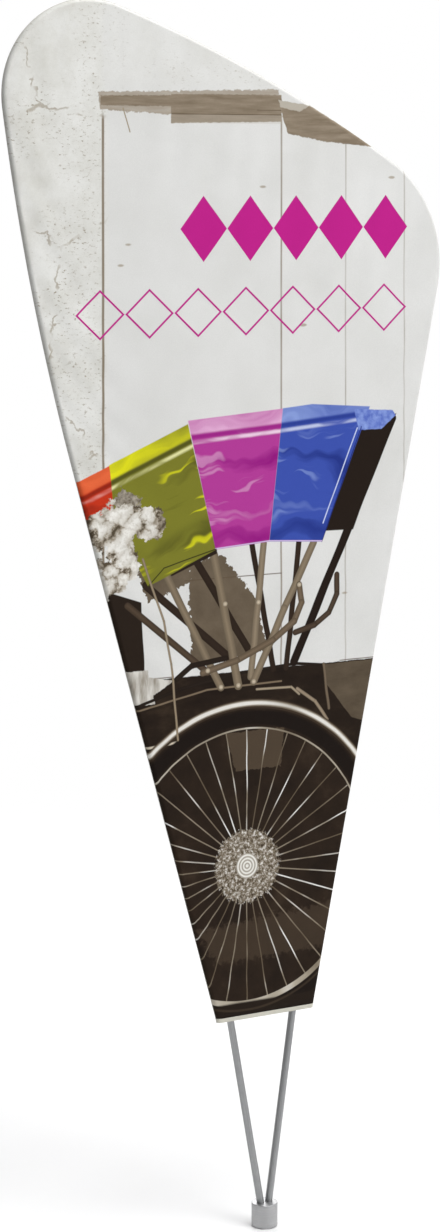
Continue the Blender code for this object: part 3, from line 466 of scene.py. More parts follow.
class CarriagePrint:
    """The picture on the cloth: a folding hood over a spoked wheel, before an old plank door."""

    SOFT = 0.0009  # how far an ink edge spreads in the cloth
    MAGENTA = ink(188, 30, 135)

    def __init__(self) -> None:
        """Builds the picture's node group."""
        self.group, self.lay, given, end = new_group(
            "carriage_print", {"Point": SocketKind.VECTOR}, {"Colour": SocketKind.COLOUR}
        )
        self.point = self.lay.vector("MULTIPLY", given["Point"], (1.0, 0.0, 1.0))
        split = self.lay.node("SeparateXYZ")
        self.lay.feed(split.inputs[0], self.point)
        self.x, self.z = split.outputs["X"], split.outputs["Z"]
        self.colour: Value = ink(218, 218, 216)
        for paint in (
            self.wall, self.planks, self.lintel, self.wall_shadow, self.cart_body,
            self.wheel, self.stays, self.hood, self.flowers, self.diamonds,
        ):  # fmt: skip
            paint()
        self.lay.feed(end.inputs["Colour"], self.colour)

    def lay_ink(self, mask: Value, colour: Value) -> None:
        """Prints a colour over what is there, where the mask is 1.

        The next layer's point waits for this one's colour, so that the shader holds few values at a time.
        """
        self.colour = self.lay.mix(mask, self.colour, colour)
        self.point = self.lay.vector("MULTIPLY_ADD", self.colour, (1e-9, 1e-9, 1e-9), self.point)
        split = self.lay.node("SeparateXYZ")
        self.lay.feed(split.inputs[0], self.point)
        self.x, self.z = split.outputs["X"], split.outputs["Z"]

    def edge(self, first: Spot, second: Spot, x: Value = None, z: Value = None) -> bpy.types.NodeSocket:
        """How far a point lies to the right of the way from one spot to another."""
        run, rise = second[0] - first[0], second[1] - first[1]
        size = math.hypot(run, rise)
        right = (rise / size, -run / size)
        offset = -(first[0] * right[0] + first[1] * right[1])
        lay = self.lay
        up = lay.math("MULTIPLY_ADD", z or self.z, right[1], offset)
        return lay.math("MULTIPLY_ADD", x or self.x, right[0], up)

    def area(self, corners: Sequence[Spot], x: Value = None, z: Value = None) -> bpy.types.NodeSocket:
        """How deep a point lies in a convex area whose corners run clockwise."""
        depth = None
        for first, second in zip(corners, (*corners[1:], corners[0])):
            side = self.edge(first, second, x, z)
            depth = side if depth is None else self.lay.math("MINIMUM", depth, side)
        return depth

    def inside(self, corners: Sequence[Spot], soft: float | None = None, ragged: float = 0.0):
        """A mask of a convex area.

        Args:
            corners: the area's corners, clockwise.
            soft: how far its edge spreads.
            ragged: how far its edge wanders.

        Returns:
            The mask.
        """
        depth = self.area(corners)
        if ragged:
            wander = self.lay.math("SUBTRACT", self.lay.noise(self.point, 110.0, 3.0, 0.6), 0.5)
            depth = self.lay.math("MULTIPLY_ADD", wander, ragged, depth)
        soft = soft or self.SOFT
        return self.lay.step(depth, -soft, soft)

    def level_line(self, height: float, start: float, stop: float, half: float) -> bpy.types.NodeSocket:
        """A mask of a level line at a height, from one x to another."""
        tall = self.lay.between(self.z, height - half, height + half, half * 0.8)
        return self.lay.times(tall, self.lay.between(self.x, start, stop, half * 2))

    def wall(self) -> None:
        """Limewash: soft clouds, and rough plaster to the left of the door."""
        lay = self.lay
        clouds = lay.noise(self.point, 7.0, 4.0, 0.55)
        self.colour = lay.ramp(clouds, [(0.3, ink(214, 214, 211)), (0.7, ink(223, 223, 221))])
        rough = lay.step(self.x, -0.308, -0.330)
        over_door = lay.step(self.z, 1.985, 2.03)
        plaster = lay.math("MAXIMUM", rough, lay.times(over_door, 0.45))
        cream = lay.ramp(
            lay.noise(self.point, 12.0, 6.0, 0.7), [(0.32, ink(209, 208, 201)), (0.6, ink(226, 226, 222))]
        )
        self.lay_ink(plaster, cream)
        rows = lay.vector("MULTIPLY", self.point, (1.0, 1.0, 2.1))
        crumbs = lay.step(lay.noise(rows, 105.0, 5.0, 0.72), 0.555, 0.66)
        zones = lay.step(lay.noise(self.point, 9.0, 3.0, 0.6), 0.44, 0.60)
        near_door = lay.between(self.x, -0.375, -0.318, 0.03)
        where = lay.times(lay.math("MAXIMUM", zones, lay.times(near_door, 0.85)), plaster)
        self.lay_ink(lay.times(lay.times(crumbs, where), 0.95), ink(140, 128, 105))
        cracks = lay.node("TexVoronoi", feature="DISTANCE_TO_EDGE")
        bent = lay.noise(self.point, 30.0, 3.0, 0.6)
        shifted = lay.scaled((1.0, 0.0, 1.0), lay.times(bent, 0.05))
        lay.feed(cracks.inputs["Vector"], lay.vector("ADD", self.point, shifted))
        cracks.inputs["Scale"].default_value = 4.2
        thin = lay.step(cracks.outputs["Distance"], 0.013, 0.004)
        broken = lay.step(lay.noise(self.point, 24.0, 2.0, 0.5), 0.46, 0.58)
        cracked = lay.times(lay.times(thin, broken), lay.times(rough, 0.6))
        self.lay_ink(cracked, ink(146, 132, 108))

    def planks(self) -> None:
        """The door's plank gaps and nail marks."""
        lay = self.lay
        below = lay.step(self.z, 1.965, 1.945)
        worn = lay.noise(lay.vector("MULTIPLY", self.point, (40.0, 1.0, 9.0)), 1.0, 3.0, 0.6)
        for place, half, strength in PLANK_GAPS:
            gap = lay.between(self.x, place - half, place + half, 0.0012)
            shown = lay.times(lay.times(gap, below), lay.math("MULTIPLY_ADD", worn, 0.9, strength - 0.35))
            self.lay_ink(lay.math("MINIMUM", shown, 0.9), ink(122, 106, 84))
        flat = lay.vector("MULTIPLY", self.point, (11.0, 1.0, 30.0))
        marks = lay.step(lay.cells(flat, 1.0), 0.105, 0.060)
        chosen = lay.node("SeparateXYZ")
        lay.feed(chosen.inputs[0], lay.cells(flat, 1.0, "Color"))
        some = lay.step(chosen.outputs["X"], 0.70, 0.72)
        door = lay.step(self.x, -0.30, -0.29)
        nailed = lay.times(lay.times(marks, some), lay.times(door, 0.7))
        self.lay_ink(nailed, ink(150, 136, 112))

    def lintel(self) -> None:
        """The shadow under the door's lintel, in stepped boards."""
        lay = self.lay
        boards = lay.noise(lay.vector("MULTIPLY", self.point, (14.0, 1.0, 120.0)), 1.0, 4.0, 0.6)
        taupe = lay.ramp(boards, [(0.3, ink(122, 108, 90)), (0.7, ink(150, 137, 119))])
        pale = lay.ramp(boards, [(0.3, ink(158, 147, 132)), (0.7, ink(178, 170, 158))])
        self.lay_ink(
            self.inside(
                ((-0.332, 1.9955), (0.0245, 2.004), (0.0245, 1.948), (-0.327, 1.9655)), ragged=0.012
            ),
            pale,
        )
        self.lay_ink(
            self.inside(
                ((-0.326, 1.9895), (0.0245, 1.9945), (0.0245, 1.972), (-0.326, 1.9725)), ragged=0.006
            ),
            taupe,
        )
        self.lay_ink(
            self.inside(
                ((-0.1905, 1.994), (0.0300, 1.9945), (0.0300, 1.9475), (-0.1905, 1.9435)), ragged=0.004
            ),
            taupe,
        )
        low = lay.between(self.z, 1.9435, 1.9585, 0.0006)
        span = lay.between(self.x, -0.1905, 0.030, 0.0006)
        self.lay_ink(lay.times(lay.times(low, span), 0.30), ink(186, 178, 164))
        for height, start, stop in ((1.9595, -0.190, 0.030), (1.9675, -0.020, 0.030)):
            self.lay_ink(lay.times(self.level_line(height, start, stop, 0.0006), 0.8), ink(84, 70, 54))
        corner = (
            (0.0245, 1.985),
            (0.0885, 1.9765),
            (0.230, 1.903),
            (0.130, 1.912),
            (0.044, 1.926),
            (0.034, 1.948),
        )
        self.lay_ink(self.inside(corner, ragged=0.007), taupe)
        lip = ((0.0245, 1.985), (0.0885, 1.9765), (0.066, 1.9655), (0.028, 1.9725))
        self.lay_ink(lay.times(self.inside(lip, ragged=0.006), 0.8), ink(190, 184, 172))
        self.lay_stay(Stay(((-0.283, 1.968), (-0.270, 1.928)), 0.0022, ink(156, 142, 118), 0.0))

    def wall_shadow(self) -> None:
        """The cart's shadow on the wall behind the stays, and the kerb line."""
        lay = self.lay
        brown = lay.ramp(
            lay.noise(self.point, 16.0, 4.0, 0.6), [(0.3, ink(90, 78, 63)), (0.7, ink(112, 99, 82))]
        )
        for corners in (
            ((-0.158, 1.180), (-0.092, 1.196), (-0.020, 1.110), (0.000, 1.020), (-0.150, 1.000)),
            ((-0.260, 1.185), (-0.150, 1.185), (-0.152, 1.150), (-0.235, 1.120)),
        ):
            self.lay_ink(self.inside(corners, ragged=0.030), brown)
        self.lay_ink(
            self.inside(((-0.330, 1.150), (-0.249, 1.122), (-0.241, 0.985), (-0.330, 0.985))), BROWN_BLACK
        )
        for height, start, stop in (
            (0.9885, 0.150, 0.33), (1.153, -0.165, 0.030), (0.9885, -0.244, -0.187)
        ):
            self.lay_ink(lay.times(self.level_line(height, start, stop, 0.0009), 0.85), ink(92, 78, 62))

    def cart_body(self) -> None:
        """The dark body behind the wheel, with its seat edge, side panel and cloth."""
        lay = self.lay
        tone = lay.noise(lay.vector("MULTIPLY", self.point, (1.0, 1.0, 2.2)), 13.0, 5.0, 0.62)
        dark = lay.ramp(tone, [(0.30, ink(27, 18, 12)), (0.55, ink(37, 27, 19)), (0.76, ink(58, 46, 34))])
        top = self.inside(((-0.30, 0.9865), (0.40, 0.9865), (0.40, 0.30), (-0.30, 0.30)), ragged=0.004)
        self.lay_ink(top, dark)
        panel = ((0.117, 0.9845), (0.300, 0.9845), (0.300, 0.840), (0.175, 0.885), (0.118, 0.955))
        self.lay_ink(
            self.inside(panel, ragged=0.003),
            lay.ramp(tone, [(0.3, ink(76, 65, 52)), (0.7, ink(100, 88, 72))]),
        )
        for first, second, third in (
            ((-0.300, 1.004), (-0.236, 1.004), (-0.222, 0.944)),
            ((-0.236, 0.992), (-0.186, 0.982), (-0.222, 0.961)),
        ):
            cloth = lay.noise(lay.vector("MULTIPLY", self.point, (60.0, 1.0, 14.0)), 1.0, 3.0, 0.6)
            pale = lay.ramp(cloth, [(0.3, ink(128, 118, 102)), (0.6, ink(214, 211, 204))])
            lower = (first[0], third[1])
            self.lay_ink(self.inside((first, second, third, lower), ragged=0.006), pale)
        for stay in (
            Stay(
                ((-0.300, 0.930), (-0.175, 0.966), (-0.050, 0.984), (0.060, 0.9905), (0.112, 0.984)),
                0.0055,
                ink(30, 22, 16),
                0.2,
            ),
            Stay(((-0.260, 0.934), (-0.120, 0.960), (0.030, 0.962)), 0.0035, ink(98, 85, 69)),
            Stay(((-0.020, 0.952), (0.050, 0.950), (0.066, 0.936)), 0.0042, ink(128, 116, 98)),
            Stay(((0.117, 0.985), (0.128, 0.905)), 0.0055, ink(88, 76, 62)),
            Stay(((0.062, 0.946), (0.100, 0.920), (0.125, 0.885)), 0.0060, ink(120, 107, 90)),
            Stay(((-0.250, 0.868), (-0.172, 0.875)), 0.0045, ink(164, 155, 139)),
        ):  # fmt: skip
            self.lay_stay(stay)

    def wheel(self) -> None:
        """Tyre, rim, spokes, tinsel and cap, and the fender over them."""
        lay, size = self.lay, Wheel()
        centre = (size.centre[0], 0.0, size.centre[1])
        away = lay.vector("SUBTRACT", self.point, centre)
        radius = lay.vector("LENGTH", away)
        split = lay.node("SeparateXYZ")
        lay.feed(split.inputs[0], away)
        turn = lay.math("ARCTAN2", split.outputs["Z"], split.outputs["X"])
        tone = lay.noise(self.point, 15.0, 4.0, 0.6)
        floor = lay.ramp(
            tone, [(0.32, ink(31, 22, 15)), (0.58, ink(42, 31, 22)), (0.78, ink(58, 46, 35))]
        )
        self.lay_ink(lay.step(radius, size.rim, size.rim - 0.002), floor)
        window = ((-0.083, 0.880), (0.036, 0.880), (0.028, 0.812), (-0.062, 0.812))
        self.lay_ink(lay.times(self.inside(window, ragged=0.01), 0.8), ink(82, 69, 55))
        low = ((-0.140, 0.540), (0.140, 0.560), (0.120, 0.480), (-0.100, 0.478))
        self.lay_ink(lay.times(self.inside(low, 0.006, ragged=0.05), 0.5), ink(76, 63, 50))
        self.lay_ink(lay.between(radius, size.tyre_inner, size.tyre_outer, 0.002), ink(25, 17, 12))
        sector = lay.times(turn, size.spokes / math.tau)
        index = lay.math("ROUND", sector)
        off = lay.math("ABSOLUTE", lay.math("SUBTRACT", sector, index))
        aside = lay.times(lay.times(off, math.tau / size.spokes), radius)
        spoke = lay.step(aside, size.spoke_half + 0.0006, size.spoke_half - 0.0006)
        span = lay.between(radius, 0.030, size.rim - 0.002, 0.001)
        join = lay.node("CombineXYZ")
        lay.feed(join.inputs["X"], lay.times(index, 7.3))
        lay.feed(join.inputs["Y"], lay.times(radius, 9.0))
        glint = lay.noise(join.outputs[0], 1.0, 2.0, 0.5)
        steel = lay.ramp(
            glint, [(0.40, ink(96, 84, 68)), (0.52, ink(140, 129, 112)), (0.64, ink(232, 231, 227))]
        )
        self.lay_ink(lay.times(spoke, span), steel)
        below = lay.step(split.outputs["Z"], 0.0, -size.rim)
        half = lay.math("MULTIPLY_ADD", below, 0.0034, 0.0014)
        ring = lay.math("ABSOLUTE", lay.math("SUBTRACT", radius, size.rim))
        shine = lay.noise(lay.vector("MULTIPLY", self.point, (5.0, 1.0, 5.0)), 1.6, 2.0, 0.5)
        chrome = lay.ramp(
            shine, [(0.35, ink(118, 106, 88)), (0.55, ink(176, 167, 151)), (0.72, ink(234, 233, 229))]
        )
        ringed = lay.step(ring, lay.math("ADD", half, 0.0007), lay.math("SUBTRACT", half, 0.0007))
        self.lay_ink(ringed, chrome)
        over = lay.step(split.outputs["Z"], 0.145, 0.165)
        wing = lay.between(radius, size.fender - size.fender_half, size.fender + size.fender_half, 0.0015)
        across = lay.math("ABSOLUTE", lay.math("SUBTRACT", radius, size.fender + 0.001))
        light = lay.times(lay.step(across, 0.0075, 0.0005), lay.math("MULTIPLY_ADD", shine, 0.9, 0.35))
        metal = lay.ramp(
            light, [(0.05, ink(58, 46, 35)), (0.40, ink(142, 131, 114)), (0.75, ink(226, 223, 216))]
        )
        self.lay_ink(lay.times(wing, over), metal)
        self.lay_ink(lay.step(self.z, 0.4065, 0.4020), ink(34, 25, 18))
        lower = lay.between(radius, size.rim + 0.010, size.rim + 0.014, 0.001)
        self.lay_ink(lay.times(lay.times(lower, below), 0.5), ink(70, 58, 45))
        fringe = lay.math("MULTIPLY_ADD", lay.noise(self.point, 160.0, 3.0, 0.7), 0.036, -0.018)
        tinsel = lay.step(lay.math("ADD", radius, fringe), size.hub + 0.002, size.hub - 0.002)
        flecks = lay.noise(self.point, 150.0, 4.0, 0.75)
        sparkle = lay.ramp(
            flecks, [(0.36, ink(52, 41, 31)), (0.50, ink(128, 116, 98)), (0.66, ink(238, 236, 231))]
        )
        self.lay_ink(lay.times(tinsel, 0.93), sparkle)
        rings = lay.math("SINE", lay.times(radius, 1100.0))
        cap = lay.ramp(
            lay.math("MULTIPLY_ADD", rings, 0.22, 0.6),
            [(0.3, ink(140, 130, 114)), (0.8, ink(232, 230, 224))],
        )
        self.lay_ink(lay.step(radius, size.cap + 0.001, size.cap - 0.001), cap)

    def lay_stay(self, stay: Stay) -> None:
        """Prints one bar, a little lighter along its middle."""
        lay = self.lay
        for first, second in zip(stay.spots, stay.spots[1:]):
            way = (second[0] - first[0], 0.0, second[1] - first[1])
            mark = lay.use(
                STROKE, Point=self.point, Start=(
                    first[0], 0.0, first[1]
                ), Way=way, Half_width=stay.width / 2, Soft=0.0007
            )
            lit = tuple(min(1.0, part * (1 + 2.2 * stay.sheen)) for part in stay.colour[:3])
            tone = lay.mix(mark.outputs["Across"], (*lit, 1.0), stay.colour)
            self.lay_ink(mark.outputs["Mask"], tone)

    def stays(self) -> None:
        """The hood's folding frame, and the curved arms."""
        for stay in STAYS:
            self.lay_stay(stay)
        for spot in RIVETS:
            stud = Stay((spot, (spot[0] + 0.0005, spot[1])), 0.0085, ink(150, 139, 121), 0.5)
            self.lay_stay(stud)

    def hood(self) -> None:
        """The glossy coloured panels, with folds, a rolled top edge and a seam."""
        lay = self.lay
        self.lay_ink(self.inside(HOOD_SIDE), ink(33, 23, 16))
        under = ((-0.208, 1.182), (-0.100, 1.207), (-0.100, 1.196), (-0.190, 1.163))
        self.lay_ink(self.inside(under), ink(40, 29, 21))
        for panel in HOOD:
            place = Matrix.Rotation(-panel.way, 4, "Y")
            bent = lay.math("MULTIPLY_ADD", lay.noise(self.point, 11.0, 2.0, 0.5), 0.10, -0.05)
            waved = lay.vector("ADD", self.point, lay.scaled((0.4, 0.0, 1.0), bent))
            folds = lay.noise(lay.placed(waved, place, (3.2, 1.0, 21.0)), 1.0, 3.0, 0.5)
            stops = ((0.30, panel.dark), (0.43, panel.middle), (0.60, panel.middle))
            glossy = lay_between(panel.middle, panel.bright, panel.glare)
            body = lay.ramp(folds, [*stops, (0.70, glossy)])
            creases = lay.noise(lay.placed(waved, place, (7.0, 1.0, 58.0)), 1.0, 2.0, 0.5)
            lit = lay.times(lay.step(creases, 0.60, 0.70), panel.glare)
            body = lay.mix(lit, body, panel.bright)
            depth = self.edge(panel.corners[0], panel.corners[1])
            rolled = lay.step(depth, 0.028, 0.022)
            top = lay.ramp(
                folds, [(0.35, lay_between(panel.middle, panel.bright, 0.25)), (0.62, panel.bright)]
            )
            body = lay.mix(lay.times(rolled, 0.8), body, top)
            crease = lay.between(depth, 0.0265, 0.0335, 0.0025)
            body = lay.mix(lay.times(crease, 0.7), body, panel.dark)
            glare = lay.times(lay.between(depth, 0.036, 0.042, 0.0025), lay.step(folds, 0.42, 0.56))
            body = lay.mix(lay.times(glare, 0.8), body, lay_between(panel.bright, WHITE, 0.45))
            low = lay.times(lay.step(depth, 0.150, 0.190), lay.step(folds, 0.54, 0.44))
            body = lay.mix(lay.times(low, 0.6), body, panel.dark)
            mask = self.area(panel.corners)
            self.lay_ink(lay.step(mask, -self.SOFT, self.SOFT), body)
        tip = lay.ramp(
            lay.noise(self.point, 60.0, 3.0), [(0.35, ink(74, 96, 184)), (0.65, ink(140, 162, 222))]
        )
        self.lay_ink(self.inside(HOOD_TIP, ragged=0.003), tip)
        for spots, width, colour in (
            (((0.187, 1.402), (0.116, 1.236)), 0.0022, ink(196, 206, 236)),
            (((0.196, 1.404), (0.113, 1.203)), 0.0016, ink(28, 40, 108)),
            (((-0.103, 1.2045), (0.0055, 1.2115), (0.113, 1.2045)), 0.0022, ink(206, 182, 222)),
            (((-0.102, 1.204), (-0.205, 1.178), (-0.235, 1.148)), 0.0020, ink(52, 50, 24)),
        ):
            self.lay_stay(Stay(spots, width, colour, 0.0))

    def flowers(self) -> None:
        """A bunch of pale flowers and a leaf on their stem."""
        lay = self.lay
        self.lay_stay(STEM)
        leaf = ((-0.302, 1.302), (-0.286, 1.318), (-0.248, 1.300), (-0.262, 1.272), (-0.292, 1.270))
        veins = lay.noise(self.point, 90.0, 4.0, 0.65)
        self.lay_ink(
            self.inside(leaf, ragged=0.03),
            lay.ramp(veins, [(0.35, ink(98, 88, 74)), (0.65, ink(176, 168, 154))]),
        )
        wander = lay.math("MULTIPLY_ADD", lay.noise(self.point, 34.0, 4.0, 0.65), 0.066, -0.033)
        petals = lay.node("TexVoronoi", feature="SMOOTH_F1")
        lay.feed(
            petals.inputs["Vector"], lay.vector("ADD", self.point, lay.scaled((1.0, 0.0, 1.0), wander))
        )
        petals.inputs["Scale"].default_value = 40.0
        petals.inputs["Smoothness"].default_value = 0.15
        fine = lay.times(lay.noise(self.point, 130.0, 3.0, 0.6), 0.40)
        tone = lay.math("ADD", lay.times(petals.outputs["Distance"], 0.95), fine)
        blossom = lay.ramp(
            tone,
            [
                (0.36, ink(236, 234, 228)),
                (0.66, ink(205, 200, 190)),
                (0.80, ink(158, 148, 132)),
                (0.92, ink(84, 73, 58)),
            ],
        )
        for middle, size in BLOSSOMS:
            away = lay.vector("DISTANCE", self.point, (middle[0], 0.0, middle[1]))
            edge = lay.math("ADD", away, wander)
            self.lay_ink(lay.step(edge, size + 0.0015, size - 0.0015), blossom)

    def diamonds(self) -> None:
        """Two rows of plain magenta diamonds: a bold row, and a thin outlined one."""
        lay = self.lay
        for start, stop, middle, height, count, line in (
            (-0.173, 0.293, 1.761, 0.116, 5, None),
            (-0.375, 0.291, 1.6165, 0.087, 7, 0.105),
        ):
            pitch = (stop - start) / count
            share = lay.math("DIVIDE", lay.math("SUBTRACT", self.x, start), pitch)
            from_middle = lay.math("ABSOLUTE", lay.math("SUBTRACT", lay.math("FRACT", share), 0.5))
            up = lay.math("ABSOLUTE", lay.math("DIVIDE", lay.math("SUBTRACT", self.z, middle), height))
            reach = lay.times(lay.math("ADD", from_middle, up), 2.0)
            row = lay.between(self.x, start, stop, 0.0002)
            mask = lay.step(reach, 1.0, 0.978)
            if line is not None:
                mask = lay.math("SUBTRACT", mask, lay.step(reach, 1.0 - line, 0.978 - line))
            self.lay_ink(lay.times(mask, row), self.MAGENTA)


def lay_between(first: tuple, second: tuple, share: float) -> tuple:
    """A colour between two others."""
    return tuple(a + (b - a) * share for a, b in zip(first, second))


# ---- Finishes ----


def bare_material(name: str) -> tuple[bpy.types.Material, Recipe, bpy.types.Node]:
    """A material with only its Principled shader and output.

    Args:
        name: the material's name.

    Returns:
        The material, a recipe on its tree, and the shader.
    """
    material = bpy.data.materials.new(name)
    material.use_nodes = True
    lay = Recipe(material.node_tree)
    return material, lay, material.node_tree.nodes["Principled BSDF"]


@dataclass(frozen=True)
class Cloth:
    """Woven or knitted cloth: plain, or with the print in it."""

    name: str
    colour: tuple
    pitch: float  # of its yarns
    relief: float = 0.00006  # height of its yarns
    sheen: float = 0.18
    printed: bool = False

    def material(self, picture: bpy.types.NodeTree | None = None) -> bpy.types.Material:
        """Makes the cloth's material.

        Args:
            picture: the print's node group, for printed cloth.

        Returns:
            The material.
        """
        material, lay, shader = bare_material(self.name)
        point = lay.object_point()
        weave = lay.use(WEAVE, Point=point, Pitch=self.pitch)
        if self.printed:
            base = lay.use(picture, Point=point).outputs["Colour"]
        else:
            base = lay.ramp(
                lay.noise(point, 60.0, 3.0),
                [(0.3, lay_between(self.colour, BLACK, 0.06)), (0.7, self.colour)],
            )
        # Darkens the colour by the weave's shade: random mottle, plus painted shade in the weave's low
        # parts.
        shade = lay.ramp(weave.outputs["Shade"], [(0.15, (0.93, 0.93, 0.93, 1)), (0.45, WHITE)])
        lay.feed(shader.inputs["Base Color"], lay.mix(1.0, base, shade, "MULTIPLY"))
        lay.feed(shader.inputs["Roughness"], lay.math("MULTIPLY_ADD", weave.outputs["Shade"], 0.12, 0.72))
        shader.inputs["Sheen Weight"].default_value = self.sheen
        shader.inputs["Sheen Roughness"].default_value = 0.5
        shader.inputs["Specular IOR Level"].default_value = 0.10
        bump = lay.node("Bump")
        bump.inputs["Strength"].default_value = 0.55
        bump.inputs["Distance"].default_value = self.relief
        lay.feed(bump.inputs["Height"], weave.outputs["Height"])
        lay.feed(shader.inputs["Normal"], bump.outputs[0])
        return material


@dataclass(frozen=True)
class Metal:
    """Metal with drawn or turned lines along one direction of a place."""

    name: str
    colour: tuple
    roughness: float
    grain: tuple[float, float, float] = (900.0, 900.0, 14.0)  # lines in a metre along each axis
    relief: float = 0.00002
    scuffs: float = 0.30
    metallic: float = 1.0

    def material(self, place: Matrix | None = None, round_axis: bool = False) -> bpy.types.Material:
        """Makes the metal's material.

        Args:
            place: where the piece lies, with Z along its grain.
            round_axis: whether the lines run round Z, as a lathe leaves them.

        Returns:
            The material.
        """
        material, lay, shader = bare_material(self.name)
        point = lay.placed(lay.object_point(), place or Matrix.Identity(4))
        if round_axis:
            split, join = lay.node("SeparateXYZ"), lay.node("CombineXYZ")
            lay.feed(split.inputs[0], point)
            flat = lay.vector("LENGTH", lay.vector("MULTIPLY", point, (1.0, 1.0, 0.0)))
            turn = lay.math("ARCTAN2", split.outputs["Y"], split.outputs["X"])
            lay.feed(join.inputs["X"], lay.times(flat, 2200.0))
            lay.feed(join.inputs["Y"], lay.times(lay.math("SINE", turn), 0.7))
            lay.feed(join.inputs["Z"], lay.times(split.outputs["Z"], 2200.0))
            stretched = join.outputs[0]
        else:
            stretched = lay.vector("MULTIPLY", point, self.grain)
        grain = lay.use(GRAIN, Point=stretched, Scuffs=self.scuffs)
        dark = lay_between(self.colour, BLACK, 0.10)
        light = lay_between(self.colour, WHITE, 0.08)
        base = lay.mix(grain.outputs["Shade"], dark, light)
        smudge = lay.step(lay.noise(lay.object_point(), 70.0, 4.0, 0.6), 0.40, 0.70)
        base = lay.mix(lay.times(smudge, 0.14), base, dark)
        lay.feed(shader.inputs["Base Color"], base)
        rough = lay.math("MULTIPLY_ADD", grain.outputs["Wear"], 0.12, self.roughness)
        lay.feed(shader.inputs["Roughness"], lay.math("MULTIPLY_ADD", smudge, 0.06, rough))
        shader.inputs["Metallic"].default_value = self.metallic
        bump = lay.node("Bump")
        bump.inputs["Strength"].default_value = 0.35
        bump.inputs["Distance"].default_value = self.relief
        lay.feed(bump.inputs["Height"], grain.outputs["Height"])
        lay.feed(shader.inputs["Normal"], bump.outputs[0])
        return material


@dataclass(frozen=True)
class Moulded:
    """Moulded plastic with a fine spark-eroded skin."""

    name: str
    colour: tuple
    roughness: float

    def material(self) -> bpy.types.Material:
        """Makes the plastic's material."""
        material, lay, shader = bare_material(self.name)
        point = lay.object_point()
        skin = lay.noise(point, 2600.0, 3.0, 0.6)
        flow = lay.noise(point, 90.0, 3.0, 0.5)
        lay.feed(
            shader.inputs["Base Color"], lay.mix(flow, self.colour, lay_between(self.colour, WHITE, 0.05))
        )
        lay.feed(shader.inputs["Roughness"], lay.math("MULTIPLY_ADD", flow, 0.12, self.roughness))
        bump = lay.node("Bump")
        bump.inputs["Strength"].default_value = 0.3
        bump.inputs["Distance"].default_value = 0.00003
        lay.feed(bump.inputs["Height"], skin)
        lay.feed(shader.inputs["Normal"], bump.outputs[0])
        return material


PRINTED_KNIT = Cloth("printed_knit", ink(218, 218, 217), 0.00062, sheen=0.0, printed=True)
HEM_TAPE = Cloth("hem_tape", ink(206, 203, 190), 0.0008, 0.00010)
ZIP_WEAVE = Cloth("zip_weave", ink(214, 213, 209), 0.0005, 0.00010)
THREAD = Cloth("sewing_thread", ink(212, 210, 203), 0.0004, 0.00008)
TUBE_METAL = Metal("satin_tube", ink(148, 149, 150), 0.42)
HUB_METAL = Metal("turned_hub", ink(176, 176, 177), 0.46)
STEEL = Metal("plain_steel", ink(160, 160, 162), 0.34)
BEARING_STEEL = Metal("bearing_steel", ink(206, 206, 210), 0.16, scuffs=0.15)
SPRING_STEEL = Metal("spring_steel", ink(136, 136, 140), 0.38)
ZIP_METAL = Metal("zip_metal", ink(188, 188, 190), 0.28, (700.0, 700.0, 120.0))
COIL_NYLON = Moulded("coil_nylon", ink(206, 205, 200), 0.42)
ELBOW_PLASTIC = Moulded("elbow_plastic", ink(34, 34, 35), 0.50)
CAGE_PLASTIC = Moulded("cage_plastic", ink(96, 88, 66), 0.55)


# ---- Helpers for meshes ----


def finished(
    name: str, bm: bmesh.types.BMesh, material: bpy.types.Material, angle: float = 35.0
) -> bpy.types.Object:
    """Turns a bmesh into a piece at the origin.

    Args:
        name: the piece's name.
        bm: the shape, in the row frame. It is freed.
        material: the piece's finish.
        angle: the sharpest turn that still shades smooth, in degrees.

    Returns:
        The new object.
    """
    mesh = bpy.data.meshes.new(name)
    bm.to_mesh(mesh)
    bm.free()
    mesh.shade_smooth()
    mesh.set_sharp_from_angle(angle=math.radians(angle))
    mesh.materials.append(material)
    made = bpy.data.objects.new(name, mesh)
    bpy.context.scene.collection.objects.link(made)
    LOG.info("%s: %d faces", name, len(mesh.polygons))
    return made


def settled(bm: bmesh.types.BMesh) -> bmesh.types.BMesh:
    """Merges doubles and turns the faces outwards."""
    bmesh.ops.remove_doubles(bm, verts=bm.verts, dist=1e-6)
    bmesh.ops.recalc_face_normals(bm, faces=bm.faces)
    return bm


def turned(profile: Sequence[Spot], steps: int, place: Matrix) -> bmesh.types.BMesh:
    """A body of revolution.

    Args:
        profile: (radius, height) points round its section. It closes on the axis or on itself.
        steps: facets round the axis.
        place: where it lies, with Z along the axis.

    Returns:
        The body, in the row frame.
    """
    bm = bmesh.new()
    points = [bm.verts.new((radius, 0, height)) for radius, height in profile]
    on_axis = profile[0][0] == 0 and profile[-1][0] == 0
    for pair in zip(points, points[1:]) if on_axis else zip(points, points[1:] + points[:1]):
        bm.edges.new(pair)
    bmesh.ops.spin(
        bm,
        geom=bm.verts[:] + bm.edges[:],
        cent=(0, 0, 0),
        axis=(0, 0, 1),
        angle=math.tau,
        steps=steps,
        use_merge=True,
    )
    settled(bm)
    bmesh.ops.transform(bm, matrix=place, verts=bm.verts)
    return bm


def block(
    low: Sequence[float], high: Sequence[float], place: Matrix, edge: float, segments: int = 3
) -> bmesh.types.BMesh:
    """A box between two corners of a place, with rounded edges."""
    bm = bmesh.new()
    low, high = Vector(low), Vector(high)
    size = Matrix.Translation((low + high) / 2) @ Matrix.Diagonal((*(high - low), 1))
    bmesh.ops.create_cube(bm, size=1, matrix=size)
    bmesh.ops.bevel(
        bm, geom=bm.edges[:], offset=edge, segments=segments, affect="EDGES", profile=0.5, material=-1
    )
    bmesh.ops.recalc_face_normals(bm, faces=bm.faces)
    bmesh.ops.transform(bm, matrix=place, verts=bm.verts)
    return bm


